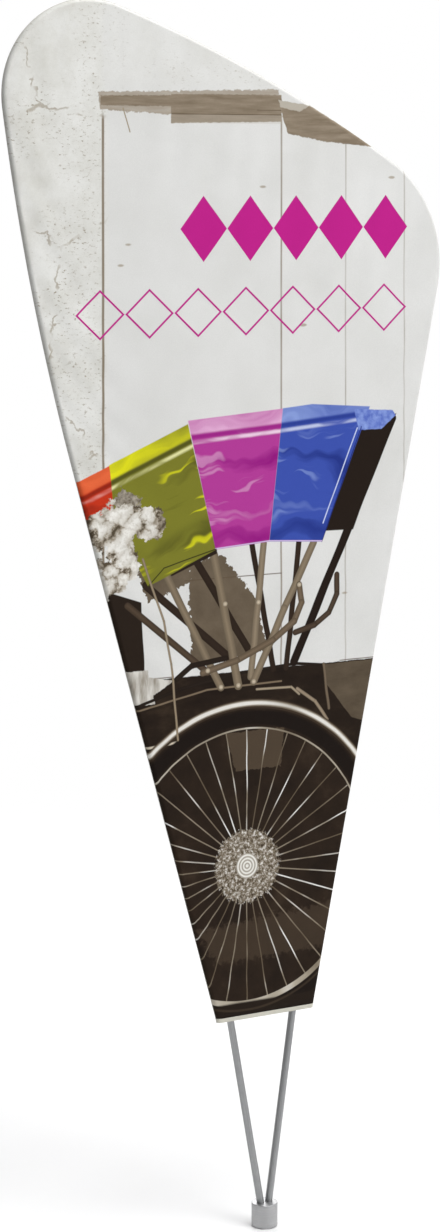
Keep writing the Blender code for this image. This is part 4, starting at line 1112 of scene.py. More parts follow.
def cut(
    piece: bpy.types.Object, tools: Iterable[bmesh.types.BMesh], operation: str = "DIFFERENCE"
) -> bpy.types.Object:
    """Cuts shapes from a piece, or joins them on, and keeps the result as its mesh."""
    for shape in tools:
        mesh = bpy.data.meshes.new("tool")
        shape.to_mesh(mesh)
        shape.free()
        tool = bpy.data.objects.new("tool", mesh)
        bpy.context.scene.collection.objects.link(tool)
        modifier = piece.modifiers.new("cut", "BOOLEAN")
        modifier.operation, modifier.solver, modifier.object = operation, "EXACT", tool
        result = bpy.data.meshes.new_from_object(
            piece.evaluated_get(bpy.context.evaluated_depsgraph_get())
        )
        piece.modifiers.clear()
        piece.data = result
        bpy.data.objects.remove(tool)
    piece.data.set_sharp_from_angle(angle=math.radians(35))
    return piece


def cylinder(radius: float, low: float, high: float, place: Matrix, sides: int = 48) -> bmesh.types.BMesh:
    """A closed cylinder on the Z axis of a place."""
    bm = bmesh.new()
    where = place @ Matrix.Translation((0, 0, (low + high) / 2))
    bmesh.ops.create_cone(
        bm, cap_ends=True, segments=sides, radius1=radius, radius2=radius, depth=high - low, matrix=where
    )
    return bm


def swept(
    name: str,
    route: Sequence[Vector],
    radius: float,
    material: bpy.types.Material,
    closed: bool,
    rounds: int = 3,
):
    """A round cord or wire along a route, as a mesh piece."""
    curve = bpy.data.curves.new(name, "CURVE")
    curve.dimensions = "3D"
    curve.bevel_depth, curve.bevel_resolution, curve.use_fill_caps = radius, rounds, not closed
    spline = curve.splines.new("POLY")
    spline.points.add(len(route) - 1)
    for target, point in zip(spline.points, route):
        target.co = (*point, 1)
    spline.use_cyclic_u = closed
    guide = bpy.data.objects.new(name + "_route", curve)
    bpy.context.scene.collection.objects.link(guide)
    mesh = bpy.data.meshes.new_from_object(guide.evaluated_get(bpy.context.evaluated_depsgraph_get()))
    bpy.data.objects.remove(guide)
    bm = bmesh.new()
    bm.from_mesh(mesh)
    bpy.data.meshes.remove(mesh)
    return finished(name, settled(bm), material, 60.0)


def stitches(
    name: str, places: Iterable[Matrix], length: float, radius: float, material: bpy.types.Material
):
    """A row of sewn stitches, each lying along X of its place with Z out of the cloth."""
    bm = bmesh.new()
    lie = Matrix.Diagonal((length / 2, radius, radius * 0.8, 1)) @ Matrix.Rotation(math.pi / 2, 4, "Y")
    for place in places:
        bmesh.ops.create_uvsphere(bm, u_segments=6, v_segments=4, radius=1, matrix=place @ lie)
    return finished(name, bm, material, 80.0)


# ---- Outline of the flag ----


@dataclass
class Outline:
    """The tube's centre line in the XZ plane, clockwise from the lower left corner.

    It is a straight edge, four arcs and another straight edge.
    """

    rail_span: float = 0.1846
    rail_height: float = 0.3845
    left_lean: float = math.radians(15.88)
    right_lean: float = math.radians(11.70)
    arcs: tuple[tuple[float, float], ...] = (
        (4.386, math.radians(7.98)),
        (0.157, math.radians(117.23)),
        (2.752, math.radians(12.79)),
    )
    last_radius: float = 0.2085
    sag: float = 0.00002  # between a facet and the true arc
    runs: list[tuple[float, float | None]] = field(init=False)

    def __post_init__(self) -> None:
        """Works out the last arc's turn and both straight runs, so that the line closes on the rail."""
        turned_so_far = sum(turn for _, turn in self.arcs)
        last = math.pi + self.left_lean + self.right_lean - turned_so_far
        arcs = (*self.arcs, (self.last_radius, last))
        heading = math.pi / 2 + self.left_lean
        left_way, across = self.way(heading), Vector((0, 0))
        for radius, turn in arcs:
            across += self.chord(heading, radius, turn)
            heading -= turn
        right_way = self.way(heading)
        rest = Vector((self.rail_span, 0)) - across
        scale = left_way.x * right_way.y - left_way.y * right_way.x
        left = (rest.x * right_way.y - rest.y * right_way.x) / scale
        right = (left_way.x * rest.y - left_way.y * rest.x) / scale
        self.runs = [(left, None), *((radius * turn, radius) for radius, turn in arcs), (right, None)]

    @staticmethod
    def way(heading: float) -> Vector:
        """Unit vector of a heading."""
        return Vector((math.cos(heading), math.sin(heading)))

    @classmethod
    def chord(cls, heading: float, radius: float, turn: float) -> Vector:
        """From one end to the other of an arc that starts at a heading."""
        return cls.way(heading - turn / 2) * 2 * radius * math.sin(turn / 2)

    @property
    def length(self) -> float:
        """Length of the whole line, without the rail."""
        return sum(length for length, _ in self.runs)

    def spot(self, distance: float) -> tuple[Vector, float]:
        """Point and heading at a distance, also past both ends, where the line goes straight on."""
        point, heading = Vector((-self.rail_span / 2, self.rail_height)), math.pi / 2 + self.left_lean
        if distance < 0:
            return point + self.way(heading) * distance, heading
        for length, radius in self.runs:
            step = min(length, distance)
            if radius is None:
                point = point + self.way(heading) * step
            else:
                point = point + self.chord(heading, radius, step / radius)
                heading -= step / radius
            distance -= step
            if distance <= 0:
                break
        return point + self.way(heading) * distance, heading

    def marks(self) -> list[float]:
        """Distances of facet corners, close enough together that no arc shows its facets."""
        marks, begin = [0.0], 0.0
        for length, radius in self.runs:
            count = 1 if radius is None else math.ceil(length / math.sqrt(8 * radius * self.sag))
            marks += [begin + length * number / count for number in range(1, count + 1)]
            begin += length
        return marks

    def left_at(self, height: float) -> float:
        """Distance at which the left edge passes a height."""
        return (height - self.rail_height) / math.cos(self.left_lean)

    def right_at(self, height: float) -> float:
        """Distance at which the right edge passes a height."""
        return self.length - (height - self.rail_height) / math.cos(self.right_lean)


OUTLINE = Outline()


# ---- Fabric case ----


@dataclass(frozen=True)
class Tension:
    """How the cloth between the tubes is simulated."""

    steps: int = 22
    quality: int = 7
    mass: float = 0.12
    stretch: float = 30
    shear: float = 12
    bend: float = 0.4
    air: float = 3
    growth: float = 0.0012  # share by which the cloth grows, so that it has to wave
    ripple: float = 0.00008  # height of the first ripples, which give the waves a start
    slack: float = 0.0011  # how far a wave may stand out or in


@dataclass
class FabricCase:
    """The sewn case: two printed panels rolled round the tube, their hems, and the seam between them."""

    gap: float = 0.0003
    tube_radius: float = 0.00635
    cloth: float = 0.0004
    hem_cloth: float = 0.0007
    hem_bottom: float = 0.3740
    hem_height: float = 0.0070
    hem_blank: float = 0.01  # its tape's cut width
    cell: float = 0.011  # of the cloth's mesh
    hem_cell: float = 0.0035
    roll_steps: int = 7
    tension: Tension = Tension()
    seam_radius: float = 0.00055
    stitch: float = 0.0026
    stitch_pitch: float = 0.0034
    thread: float = 0.00022

    @property
    def skin(self) -> float:
        """From the case's middle plane to the middle of its cloth."""
        return self.tube_radius + self.gap + self.cloth / 2

    @property
    def hem_top(self) -> float:
        """Height of the hem's upper edge."""
        return self.hem_bottom + self.hem_height

    def flat_sheet(self, low: float, high: float, cell: float) -> bmesh.types.BMesh:
        """A flat sheet between two heights, cut to the outline.

        Args:
            low: height of its lower edge.
            high: height of its upper edge.
            cell: size of its mesh's cells.

        Returns:
            The sheet, on the XZ plane.
        """
        left, right = CAD_BOX[0].x, CAD_BOX[1].x
        middle = Vector(((left + right) / 2, 0, (low + high) / 2))
        size = Vector((right - left, high - low)) / 2
        bm = bmesh.new()
        bmesh.ops.create_grid(
            bm,
            x_segments=max(1, round(size.x * 2 / cell)),
            y_segments=max(1, round(size.y * 2 / cell)),
            size=1,
            matrix=Matrix.Translation(middle) @ Matrix.Rotation(math.pi / 2, 4, "X") @ Matrix.Diagonal(
                (size.x, size.y, 1, 1)
            ),
        )
        marks = OUTLINE.marks()
        for start, stop in zip(marks, marks[1:]):
            first, second = OUTLINE.spot(start)[0], OUTLINE.spot(stop)[0]
            if min(first.y, second.y) > high + self.hem_height:
                continue
            way = (second - first).normalized()
            bmesh.ops.bisect_plane(
                bm,
                geom=bm.verts[:] + bm.edges[:] + bm.faces[:],
                dist=1e-6,
                plane_co=(first.x, 0, first.y),
                plane_no=(-way.y, 0, way.x),
                clear_outer=True,
            )
        bmesh.ops.remove_doubles(bm, verts=bm.verts, dist=0.0003)
        return bm

    def roll_edges(self, bm: bmesh.types.BMesh, side: int, skin: float, low: float, high: float) -> None:
        """Rolls a sheet's cut edges half way round the tube, and moves the sheet out to its place.

        Args:
            bm: the flat sheet.
            side: -1 at the front, 1 at the back.
            skin: from the middle plane to the cloth's middle.
            low: height of its level lower edge, which isn't rolled.
            high: height of a level upper edge, which isn't rolled either.
        """
        marks = np.arange(-0.03, OUTLINE.length + 0.03, 0.001)
        spots = np.array([(*OUTLINE.spot(mark)[0], OUTLINE.spot(mark)[1]) for mark in marks])
        level, flat = (low, high), 1e-5
        rim = [
            edge
            for edge in bm.edges
            if edge.is_boundary and not any(
                all(abs(v.co.z - h) < flat for v in edge.verts) for h in level
            )
        ]
        base = bm.verts.layers.float_vector.new("base")
        way = bm.verts.layers.float_vector.new("way")
        for vert in {v for edge in rim for v in edge.verts}:
            heading = spots[np.hypot(spots[:, 0] - vert.co.x, spots[:, 1] - vert.co.z).argmin(), 2]
            out = Vector((-math.sin(heading), math.cos(heading)))
            if any(abs(vert.co.z - h) < flat for h in level):
                along = Outline.way(heading)
                out = out - along * (out.y / along.y)
            vert[base], vert[way] = vert.co, Vector((out.x, 0, out.y))
        for vert in bm.verts:
            vert.co.y = side * skin
        last = math.pi / 2 - self.gap / 2 / skin
        for step in range(1, self.roll_steps + 1):
            angle = last * step / self.roll_steps
            grown = bmesh.ops.extrude_edge_only(bm, edges=rim)["geom"]
            moved = {item for item in grown if isinstance(item, bmesh.types.BMVert)}
            rim = [e for e in grown if isinstance(e, bmesh.types.BMEdge) and set(e.verts) <= moved]
            for vert in moved:
                spot = vert[base] + vert[way] * skin * math.sin(angle)
                vert.co = (spot.x, side * skin * math.cos(angle), spot.z)
        bmesh.ops.recalc_face_normals(bm, faces=bm.faces)
        centre = max(bm.faces, key=lambda face: face.calc_area())
        if centre.normal.y * side < 0:
            bmesh.ops.reverse_faces(bm, faces=bm.faces)

    def pull_taut(self, piece: bpy.types.Object, side: int) -> None:
        """Lets the cloth find its own shallow waves between the tubes, by simulation, and keeps the result.

        Args:
            piece: the panel, before it has any thickness.
            side: -1 at the front, 1 at the back.
        """
        mesh, tension = piece.data, self.tension
        rest = np.empty(len(mesh.vertices) * 3)
        mesh.vertices.foreach_get("co", rest)
        rest = rest.reshape(-1, 3)
        free = np.abs(rest[:, 1]) > self.skin - 1e-6
        boundary = {v for edge in self.open_edges(mesh) for v in edge}
        free[list(boundary)] = False
        seed = rest.copy()
        ripple = np.sin(rest[:, 0] * 31 + rest[:, 2] * 9) + np.sin(rest[:, 2] * 23 - rest[:, 0] * 11)
        seed[free, 1] += side * tension.ripple * ripple[free]
        mesh.vertices.foreach_set("co", seed.ravel())
        pins = piece.vertex_groups.new(name="held")
        pins.add([int(i) for i in np.flatnonzero(~free)], 1.0, "REPLACE")
        cloth = piece.modifiers.new("tension", "CLOTH")
        settings = cloth.settings
        settings.quality, settings.mass = tension.quality, tension.mass
        settings.tension_stiffness = settings.compression_stiffness = tension.stretch
        settings.shear_stiffness, settings.bending_stiffness = tension.shear, tension.bend
        settings.air_damping, settings.shrink_min = tension.air, -tension.growth
        settings.vertex_group_mass = "held"
        cloth.collision_settings.use_collision = False
        cloth.point_cache.frame_start, cloth.point_cache.frame_end = 1, tension.steps
        scene = bpy.context.scene
        for step in range(1, tension.steps + 1):
            scene.frame_set(step)
        result = bpy.data.meshes.new_from_object(
            piece.evaluated_get(bpy.context.evaluated_depsgraph_get())
        )
        moved = np.empty(len(result.vertices) * 3)
        result.vertices.foreach_get("co", moved)
        bpy.data.meshes.remove(result)
        piece.modifiers.remove(cloth)
        piece.vertex_groups.remove(pins)
        scene.frame_set(1)
        shift = moved.reshape(-1, 3) - rest
        size = np.linalg.norm(shift, axis=1, keepdims=True)
        limit = tension.slack * np.tanh(size / tension.slack)
        mesh.vertices.foreach_set("co", (rest + shift / np.maximum(size, 1e-12) * limit).ravel())
        mesh.update()
        LOG.info("%s moved up to %.2f mm in the simulation", piece.name, 1000 * limit.max())

    @staticmethod
    def open_edges(mesh: bpy.types.Mesh) -> list[tuple[int, int]]:
        """The edges with one face only, as pairs of vertex numbers."""
        count: dict[tuple[int, int], int] = {}
        for polygon in mesh.polygons:
            for key in polygon.edge_keys:
                count[key] = count.get(key, 0) + 1
        return [key for key, times in count.items() if times == 1]

    def panel(
        self, side: int, material: bpy.types.Material, slot_box: "ZipPlace | None" = None
    ) -> bpy.types.Object:
        """One printed panel.

        Args:
            side: -1 at the front, 1 at the back.
            material: the printed cloth.
            slot_box: where the zip's slot is cut, at the back.

        Returns:
            The panel, with its thickness as a modifier.
        """
        name = "printed_front" if side < 0 else "printed_back"
        low, high = self.hem_top + self.gap, CAD_BOX[1].z
        bm = self.flat_sheet(low, high, self.cell)
        if slot_box is not None:
            slot_box.open_slot(bm)
        self.roll_edges(bm, side, self.skin, low, high + 1)
        piece = finished(name, bm, material, 60.0)
        self.pull_taut(piece, side)
        wall = piece.modifiers.new("cloth", "SOLIDIFY")
        wall.thickness, wall.offset = self.cloth, 0
        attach(piece, "flag")
        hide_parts("front_panel" if side < 0 else "back_panel")
        return piece

    def hem(self, side: int, material: bpy.types.Material) -> bpy.types.Object:
        """One folded hem band across the case's lower edge."""
        name = "front_hem_band" if side < 0 else "back_hem_band"
        bm = self.flat_sheet(self.hem_bottom, self.hem_top, self.hem_cell)
        skin = self.tube_radius + self.gap + self.hem_cloth / 2
        self.roll_edges(bm, side, skin, self.hem_bottom, self.hem_top)
        piece = finished(name, bm, material, 60.0)
        wall = piece.modifiers.new("folded", "SOLIDIFY")
        wall.thickness, wall.offset = self.hem_cloth, 0
        soft = piece.modifiers.new("fold", "BEVEL")
        soft.width, soft.segments = self.hem_cloth * 0.4, 2
        soft.limit_method, soft.angle_limit = "ANGLE", math.radians(50)
        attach(piece, "flag")
        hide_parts("front_hem" if side < 0 else "back_hem")
        return piece

    def seam(self, material: bpy.types.Material) -> bpy.types.Object:
        """The overlocked seam that joins the two panels round the outside."""
        start, stop = OUTLINE.left_at(self.hem_bottom + self.gap), OUTLINE.right_at(
            self.hem_bottom + self.gap
        )
        out = self.skin + self.cloth / 2 + self.seam_radius * 0.35
        route = []
        for mark in (start, *OUTLINE.marks()[1:-1], stop):
            point, heading = OUTLINE.spot(mark)
            route.append(
                Vector((point.x - math.sin(heading) * out, 0, point.y + math.cos(heading) * out))
            )
        piece = swept("edge_seam", route, self.seam_radius, material, False)
        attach(piece, "flag")
        return piece

    def hem_stitching(self, side: int, material: bpy.types.Material) -> bpy.types.Object:
        """Two rows of stitches along a hem."""
        name = "front_hem_stitching" if side < 0 else "back_hem_stitching"
        out = side * (self.tube_radius + self.gap + self.hem_cloth + self.thread * 0.2)
        places = []
        for height in (self.hem_bottom + 0.0017, self.hem_top - 0.0015):
            left = OUTLINE.spot(OUTLINE.left_at(height))[0].x + 0.002
            right = OUTLINE.spot(OUTLINE.right_at(height))[0].x - 0.002
            count = int((right - left) / self.stitch_pitch)
            for number in range(count + 1):
                x = left + (right - left) * number / count
                places.append(
                    Matrix.Translation((x, out, height)) @ Matrix.Rotation(side * -math.pi / 2, 4, "X")
                )
        piece = stitches(name, places, self.stitch, self.thread, material)
        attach(piece, "flag")
        return piece

    def build(self, zip_place: "ZipPlace") -> None:
        """Makes every piece of the case."""
        picture = CarriagePrint().group
        knit = PRINTED_KNIT.material(picture)
        tape, thread = HEM_TAPE.material(), THREAD.material()
        for side in (-1, 1):
            self.panel(side, knit, zip_place if side > 0 else None)
            self.hem(side, tape)
            self.hem_stitching(side, thread)
        self.seam(thread)


# ---- Zip ----


@dataclass
class ZipPlace:
    """Where the zip lies: its frame has Z up the right edge, X out of the flag and Y out of its back."""

    above_rail: float = 0.0155
    head_room: float = 0.0784
    inset: float = 0.0170
    slot: float = 0.0140
    length: float = field(init=False)
    place: Matrix = field(init=False)

    def __post_init__(self) -> None:
        """Works out the frame and the zip's length."""
        foot = OUTLINE.right_at(OUTLINE.rail_height + self.above_rail)
        point, _ = OUTLINE.spot(foot)
        turn = Matrix.Rotation(OUTLINE.right_lean, 4, "Y")
        self.place = Matrix.Translation((point.x, 0, point.y)) @ turn @ Matrix.Translation(
            (-self.inset, 0, 0)
        )
        self.length = foot - (OUTLINE.length - OUTLINE.runs[-1][0]) - self.head_room

    def open_slot(self, bm: bmesh.types.BMesh) -> None:
        """Cuts the zip's slot in a flat sheet."""
        turn = self.place.to_3x3()
        for offset, normal in (
            (Vector((-self.slot / 2, 0, 0)), Vector((1, 0, 0))),
            (Vector((self.slot / 2, 0, 0)), Vector((1, 0, 0))),
            (Vector((0, 0, 0)), Vector((0, 0, 1))),
            (Vector((0, 0, self.length)), Vector((0, 0, 1))),
        ):
            bmesh.ops.bisect_plane(
                bm,
                geom=bm.verts[:] + bm.edges[:] + bm.faces[:],
                dist=1e-6,
                plane_co=self.place @ offset,
                plane_no=turn @ normal,
            )
        back = self.place.inverted()
        gone = []
        for face in bm.faces:
            spot = back @ face.calc_center_median()
            if abs(spot.x) < self.slot / 2 and 0 < spot.z < self.length:
                gone.append(face)
        bmesh.ops.delete(bm, geom=gone, context="FACES")


@dataclass
class ZipFastener:
    """Tapes, coils, stops, slider and pull tab."""

    where: ZipPlace
    case: FabricCase
    gap: float = 0.0003
    tape_width: float = 0.0115
    tape_tail: float = 0.0040
    tape_head: float = 0.0060
    coil_width: float = 0.0026
    coil_height: float = 0.0022
    coil_split: float = 0.0020
    tooth_pitch: float = 0.0016
    wire: float = 0.00026
    stop_length: float = 0.0040
    slider_length: float = 0.0110
    plate: float = 0.0010
    bail_height: float = 0.0025
    bail_radius: float = 0.0007
    bail_reach: float = 0.0026
    pull_length: float = 0.0240
    pull_width: float = 0.0064
    pull_half: float = 0.0005  # half its blade's thickness
    lip: float = 0.0009  # width of the slider's side lips
    post: float = 0.0009  # width of the posts that carry the bail
    post_half: float = 0.0011
    lap: float = 0.0002  # how far joined shapes reach into each other
    soft: float = 0.0004  # rounding of the slider's edges
    nose_turn: float = math.radians(28)
    rib_pitch: float = 0.0016
    eye_wall: float = 0.0006
    hole: float = 0.0017
    hole_drop: float = 0.0045

    @property
    def tape_top(self) -> float:
        """Height of the tape's face from the case's middle plane."""
        return self.case.tube_radius

    @property
    def coil_low(self) -> float:
        """Height of the coils' underside."""
        return self.tape_top + self.gap

    @property
    def coil_top(self) -> float:
        """Height of the coils' crown."""
        return self.coil_low + self.coil_height

    def tape(self, side: int, material: bpy.types.Material) -> bpy.types.Object:
        """One woven tape."""
        name = "zip_left_tape_cloth" if side < 0 else "zip_right_tape_cloth"
        half = self.coil_split / 2
        low, high = -self.tape_tail, self.where.length + self.tape_head
        bm = bmesh.new()
        middle = Vector(
            (side * (half + self.tape_width / 2), self.tape_top - self.case.cloth / 2, (low + high) / 2)
        )
        size = Matrix.Diagonal((self.tape_width / 2, (high - low) / 2, 1, 1))
        bmesh.ops.create_grid(
            bm, x_segments=6, y_segments=120, size=1, matrix=Matrix.Translation(middle) @ Matrix.Rotation(
                math.pi / 2, 4, "X"
            ) @ size
        )
        bmesh.ops.transform(bm, matrix=self.where.place, verts=bm.verts)
        piece = finished(name, bm, material, 60.0)
        wall = piece.modifiers.new("weave", "SOLIDIFY")
        wall.thickness, wall.offset = self.case.cloth, 0
        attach(piece, "flag")
        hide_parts(name.replace("_cloth", ""))
        return piece

    def coil(self, side: int, material: bpy.types.Material) -> bpy.types.Object:
        """One nylon coil, wound flat, whose turns lie between those of the other."""
        name = "zip_left_teeth" if side < 0 else "zip_right_teeth"
        low = self.stop_length + 2 * self.gap
        high = self.where.length - self.stop_length - 2 * self.gap
        inner, outer = -0.00055, self.coil_split / 2 + self.coil_width - self.wire
        middle, reach = (inner + outer) / 2, (outer - inner) / 2
        rise = self.coil_height / 2 - self.wire
        turns = int((high - low) / self.tooth_pitch)
        phase = 0.0 if side < 0 else 0.5
        corners = (
            (-1.0, 0.0, 0.0),
            (-0.55, 1.0, 0.10),
            (0.80, 0.85, 0.30),
            (1.0, 0.0, 0.50),
            (0.80, -0.85, 0.70),
            (-0.55, -1.0, 0.90),
        )
        route = []
        for turn in range(turns - 1):
            for across, up, along in corners:
                z = low + self.wire + (turn + along + phase) * self.tooth_pitch
                spot = Vector(
                    (
                        side * (middle + across * reach),
                        self.coil_low + self.coil_height / 2 + up * rise,
                        z,
                    ),
                )
                route.append(self.where.place @ spot)
        piece = swept(name, route, self.wire, material, False, 0)
        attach(piece, "flag")
        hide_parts(f"zip_{'left' if side < 0 else 'right'}_coil")
        return piece

    def stop(self, name: str, low: float, material: bpy.types.Material) -> bpy.types.Object:
        """One clinched end stop with rounded edges."""
        half = self.coil_split / 2 + self.coil_width + 0.0006
        top = self.coil_top + 0.0004
        body = block(
            (-half, self.coil_low, low), (half, top, low + self.stop_length), self.where.place, 0.0006
        )
        ridge = block(
            (-half * 0.8, top - 0.0003, low + 0.0014),
            (half * 0.8, top + 0.0003, low + 0.0026),
            self.where.place,
            0.0002,
        )
        piece = cut(finished(name + "_clinch", body, material), [ridge], "UNION")
        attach(piece, "flag")
        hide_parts(name)
        return piece

    def slider(self, material: bpy.types.Material) -> bpy.types.Object:
        """The slider: two shaped plates, side lips, a neck and the bail that carries the pull."""
        place = self.where.place @ Matrix.Translation((0, 0, self.stop_length + 3 * self.gap))
        half = self.coil_split / 2 + self.coil_width
        side, top = half + self.gap + self.lip, self.coil_top + self.gap
        bottom = self.tape_top - self.case.cloth - self.gap
        length, bar, lap = self.slider_length, top + self.plate + self.bail_height, self.lap
        body = block((-side, top, 0), (side, top + self.plate, length), place, 0.00045)
        shapes = [
            block(
                (lap - side, bottom - self.plate, lap),
                (side - lap, bottom, length - lap),
                place,
                self.soft,
            ),
            block((-0.0007, bottom - 0.0005, 0.001), (0.0007, top + 0.0005, 0.005), place, 0.0001, 1),
            block(
                (-0.0018, top + self.plate - 0.0003, 0.0008),
                (0.0018, top + self.plate + 0.0003, 0.0030),
                place,
                0.0003,
            ),
        ]
        for sign in (-1, 1):
            lip = sorted((sign * side, sign * (half + self.gap)))
            low, high = (lip[0], self.coil_low + self.gap, 2 * lap), (lip[1], top + lap, length - 2 * lap)
            shapes.append(block(low, high, place, lap, 2))
            post = sorted((sign * self.bail_reach, sign * (self.bail_reach + self.post)))
            low = (post[0], top + self.plate / 2, length / 2 - self.post_half)
            high = (post[1], bar + self.post, length / 2 + self.post_half)
            shapes.append(block(low, high, place, self.post / 3))
        hinge = place @ Matrix.Translation((0, bar, length / 2)) @ Matrix.Rotation(math.pi / 2, 4, "Y")
        reach = self.bail_reach + lap
        shapes.append(cylinder(self.bail_radius, -reach, reach, hinge, 24))
        piece = cut(finished("zip_slider_body", body, material), shapes, "UNION")
        nose = []
        for sign in (-1, 1):
            corner = place @ Matrix.Translation((sign * (side + 0.0012), 0, 0.0))
            corner @= Matrix.Rotation(-sign * self.nose_turn, 4, "Y")
            nose.append(
                block((-0.0016, bottom - 0.003, -0.004), (0.0016, top + 0.003, 0.004), corner, 0.0002, 1)
            )
        cut(piece, nose)
        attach(piece, "zip_slider")
        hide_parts("zip_slider")
        self.pull(hinge, place @ Matrix.Translation((0, bar, length / 2)), material)
        return piece

    def pull(self, across: Matrix, hinge: Matrix, material: bpy.types.Material) -> bpy.types.Object:
        """The pull tab: an eye round the bail, a neck and a blade with a hole and grip ribs."""
        eye, neck = self.bail_radius + 0.0004, self.bail_reach - 0.0004
        half, length = self.pull_width / 2, self.pull_length
        ring = cylinder(eye + self.eye_wall, -neck, neck, across, 32)
        piece = finished("zip_pull_blade", ring, material)
        parts = [
            block((0.0002 - neck, -0.0006, -0.0044), (neck - 0.0002, 0.0006, -0.0002), hinge, 0.0002, 2),
            block((-half, -self.pull_half, -length), (half, self.pull_half, -0.003), hinge, 0.00042),
        ]
        for number in range(5):
            low = 0.0085 - length + number * self.rib_pitch
            parts.append(
                block((-half * 0.7, 0.0002, low), (half * 0.7, 0.00072, low + 0.0007), hinge, 0.0002, 2)
            )
        cut(piece, parts, "UNION")
        hole = hinge @ Matrix.Translation((0, 0, self.hole_drop - length)) @ Matrix.Rotation(
            math.pi / 2, 4, "X"
        )
        cut(piece, [cylinder(eye, -0.01, 0.01, across, 32), cylinder(self.hole, -0.01, 0.01, hole, 32)])
        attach(piece, "zip_pull")
        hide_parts("zip_pull_tab")
        return piece

    def stitching(self, material: bpy.types.Material) -> bpy.types.Object:
        """Rows of stitches that hold the tapes to the back panel, on both sides."""
        out = self.case.skin + self.case.cloth / 2 + 0.00012
        places = []
        pitch = self.case.stitch_pitch
        along = Matrix.Rotation(math.pi / 2, 4, "Y") @ Matrix.Rotation(-math.pi / 2, 4, "X")
        count = int(self.where.length / pitch)
        for side in (-1, 1):
            for number in range(count + 1):
                spot = Vector((side * (self.where.slot / 2 + 0.0019), out, number * pitch))
                places.append(self.where.place @ Matrix.Translation(spot) @ along)
        piece = stitches("zip_stitching", places, self.case.stitch, self.case.thread, material)
        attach(piece, "flag")
        return piece

    def build(self) -> None:
        """Makes every piece of the zip."""
        weave, nylon, metal = ZIP_WEAVE.material(), COIL_NYLON.material(), ZIP_METAL.material(
            self.where.place
        )
        for side in (-1, 1):
            self.tape(side, weave)
            self.coil(side, nylon)
        self.stop("zip_bottom_stop", self.gap, metal)
        self.stop("zip_top_stop", self.where.length - self.stop_length - self.gap, metal)
        self.slider(metal)
        self.stitching(THREAD.material())


# ---- Legs and hub ----


@dataclass
class Legs:
    """The two leg tubes between the hub and the rail."""

    gap: float = 0.0003
    tube_radius: float = 0.00635
    wall: float = 0.0012
    foot_spread: float = 0.0166
    head_insets: tuple[float, float] = (0.0210, 0.0336)
    head_clearance: float = 0.0082
    socket: float = 0.006
    hub_top: float = 0.0415
    button_drop: float = 0.030
    button_radius: float = 0.0024
    button_proud: float = 0.0010
    dome: float = 0.0009
    collar: float = 0.0005  # how far its collar stands out
    collar_top: float = 0.0019
    collar_bottom: float = 0.0009
    tube_edge: float = 0.0003

    def places(self) -> list[tuple[str, Matrix, float]]:
        """Each leg's name, its frame at the hub's top face, and its length to the rail."""
        found = []
        for name, side, inset in zip(("left", "right"), (-1, 1), self.head_insets):
            foot = Vector((side * self.foot_spread / 2, 0, self.hub_top))
            head = Vector((side * (OUTLINE.rail_span / 2 - inset), 0, OUTLINE.rail_height))
            lean = math.atan2(head.x - foot.x, head.z - foot.z)
            found.append(
                (name, Matrix.Translation(foot) @ Matrix.Rotation(lean, 4, "Y"), (head - foot).length)
            )
        return found

    def build(self) -> None:
        """Makes both tubes and their snap buttons."""
        for name, place, length in self.places():
            low, high = self.gap - self.socket, length - self.head_clearance
            edge, inner, outer = self.tube_edge, self.tube_radius - self.wall, self.tube_radius
            profile = [
                (inner, high - edge), (inner + edge, high), (outer - edge, high), (outer, high - edge),
                (outer, low + edge), (outer - edge, low), (inner + edge, low), (inner, low + edge),
            ]  # fmt: skip
            tube = finished(f"{name}_leg", turned(profile, 72, place), TUBE_METAL.material(place))
            button = place @ Matrix.Translation((0, 0, length - self.button_drop))
            out = button @ Matrix.Rotation(-math.pi / 2, 4, "X")
            cut(tube, [cylinder(self.button_radius + self.gap, 0, 0.02, out, 40)])
            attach(tube, "flag")
            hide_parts(f"{name}_leg_tube")
            top, dome = self.tube_radius + self.button_proud, self.dome
            head = [(0, top)]
            for step in range(7):
                angle = math.pi / 2 * step / 6
                head.append(
                    (
                        self.button_radius - dome + dome * math.sin(angle),
                        top - dome + dome * math.cos(angle),
                    ),
                )
            wide = self.button_radius + self.collar
            head += [(self.button_radius, self.collar_top), (wide, self.collar_top)]
            head += [(wide, self.collar_bottom), (0, self.collar_bottom)]
            snap = finished(f"{name}_leg_snap", turned(head, 40, out), STEEL.material(out, True))
            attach(snap, f"{name}_leg_button")
            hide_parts(f"{name}_leg_button")


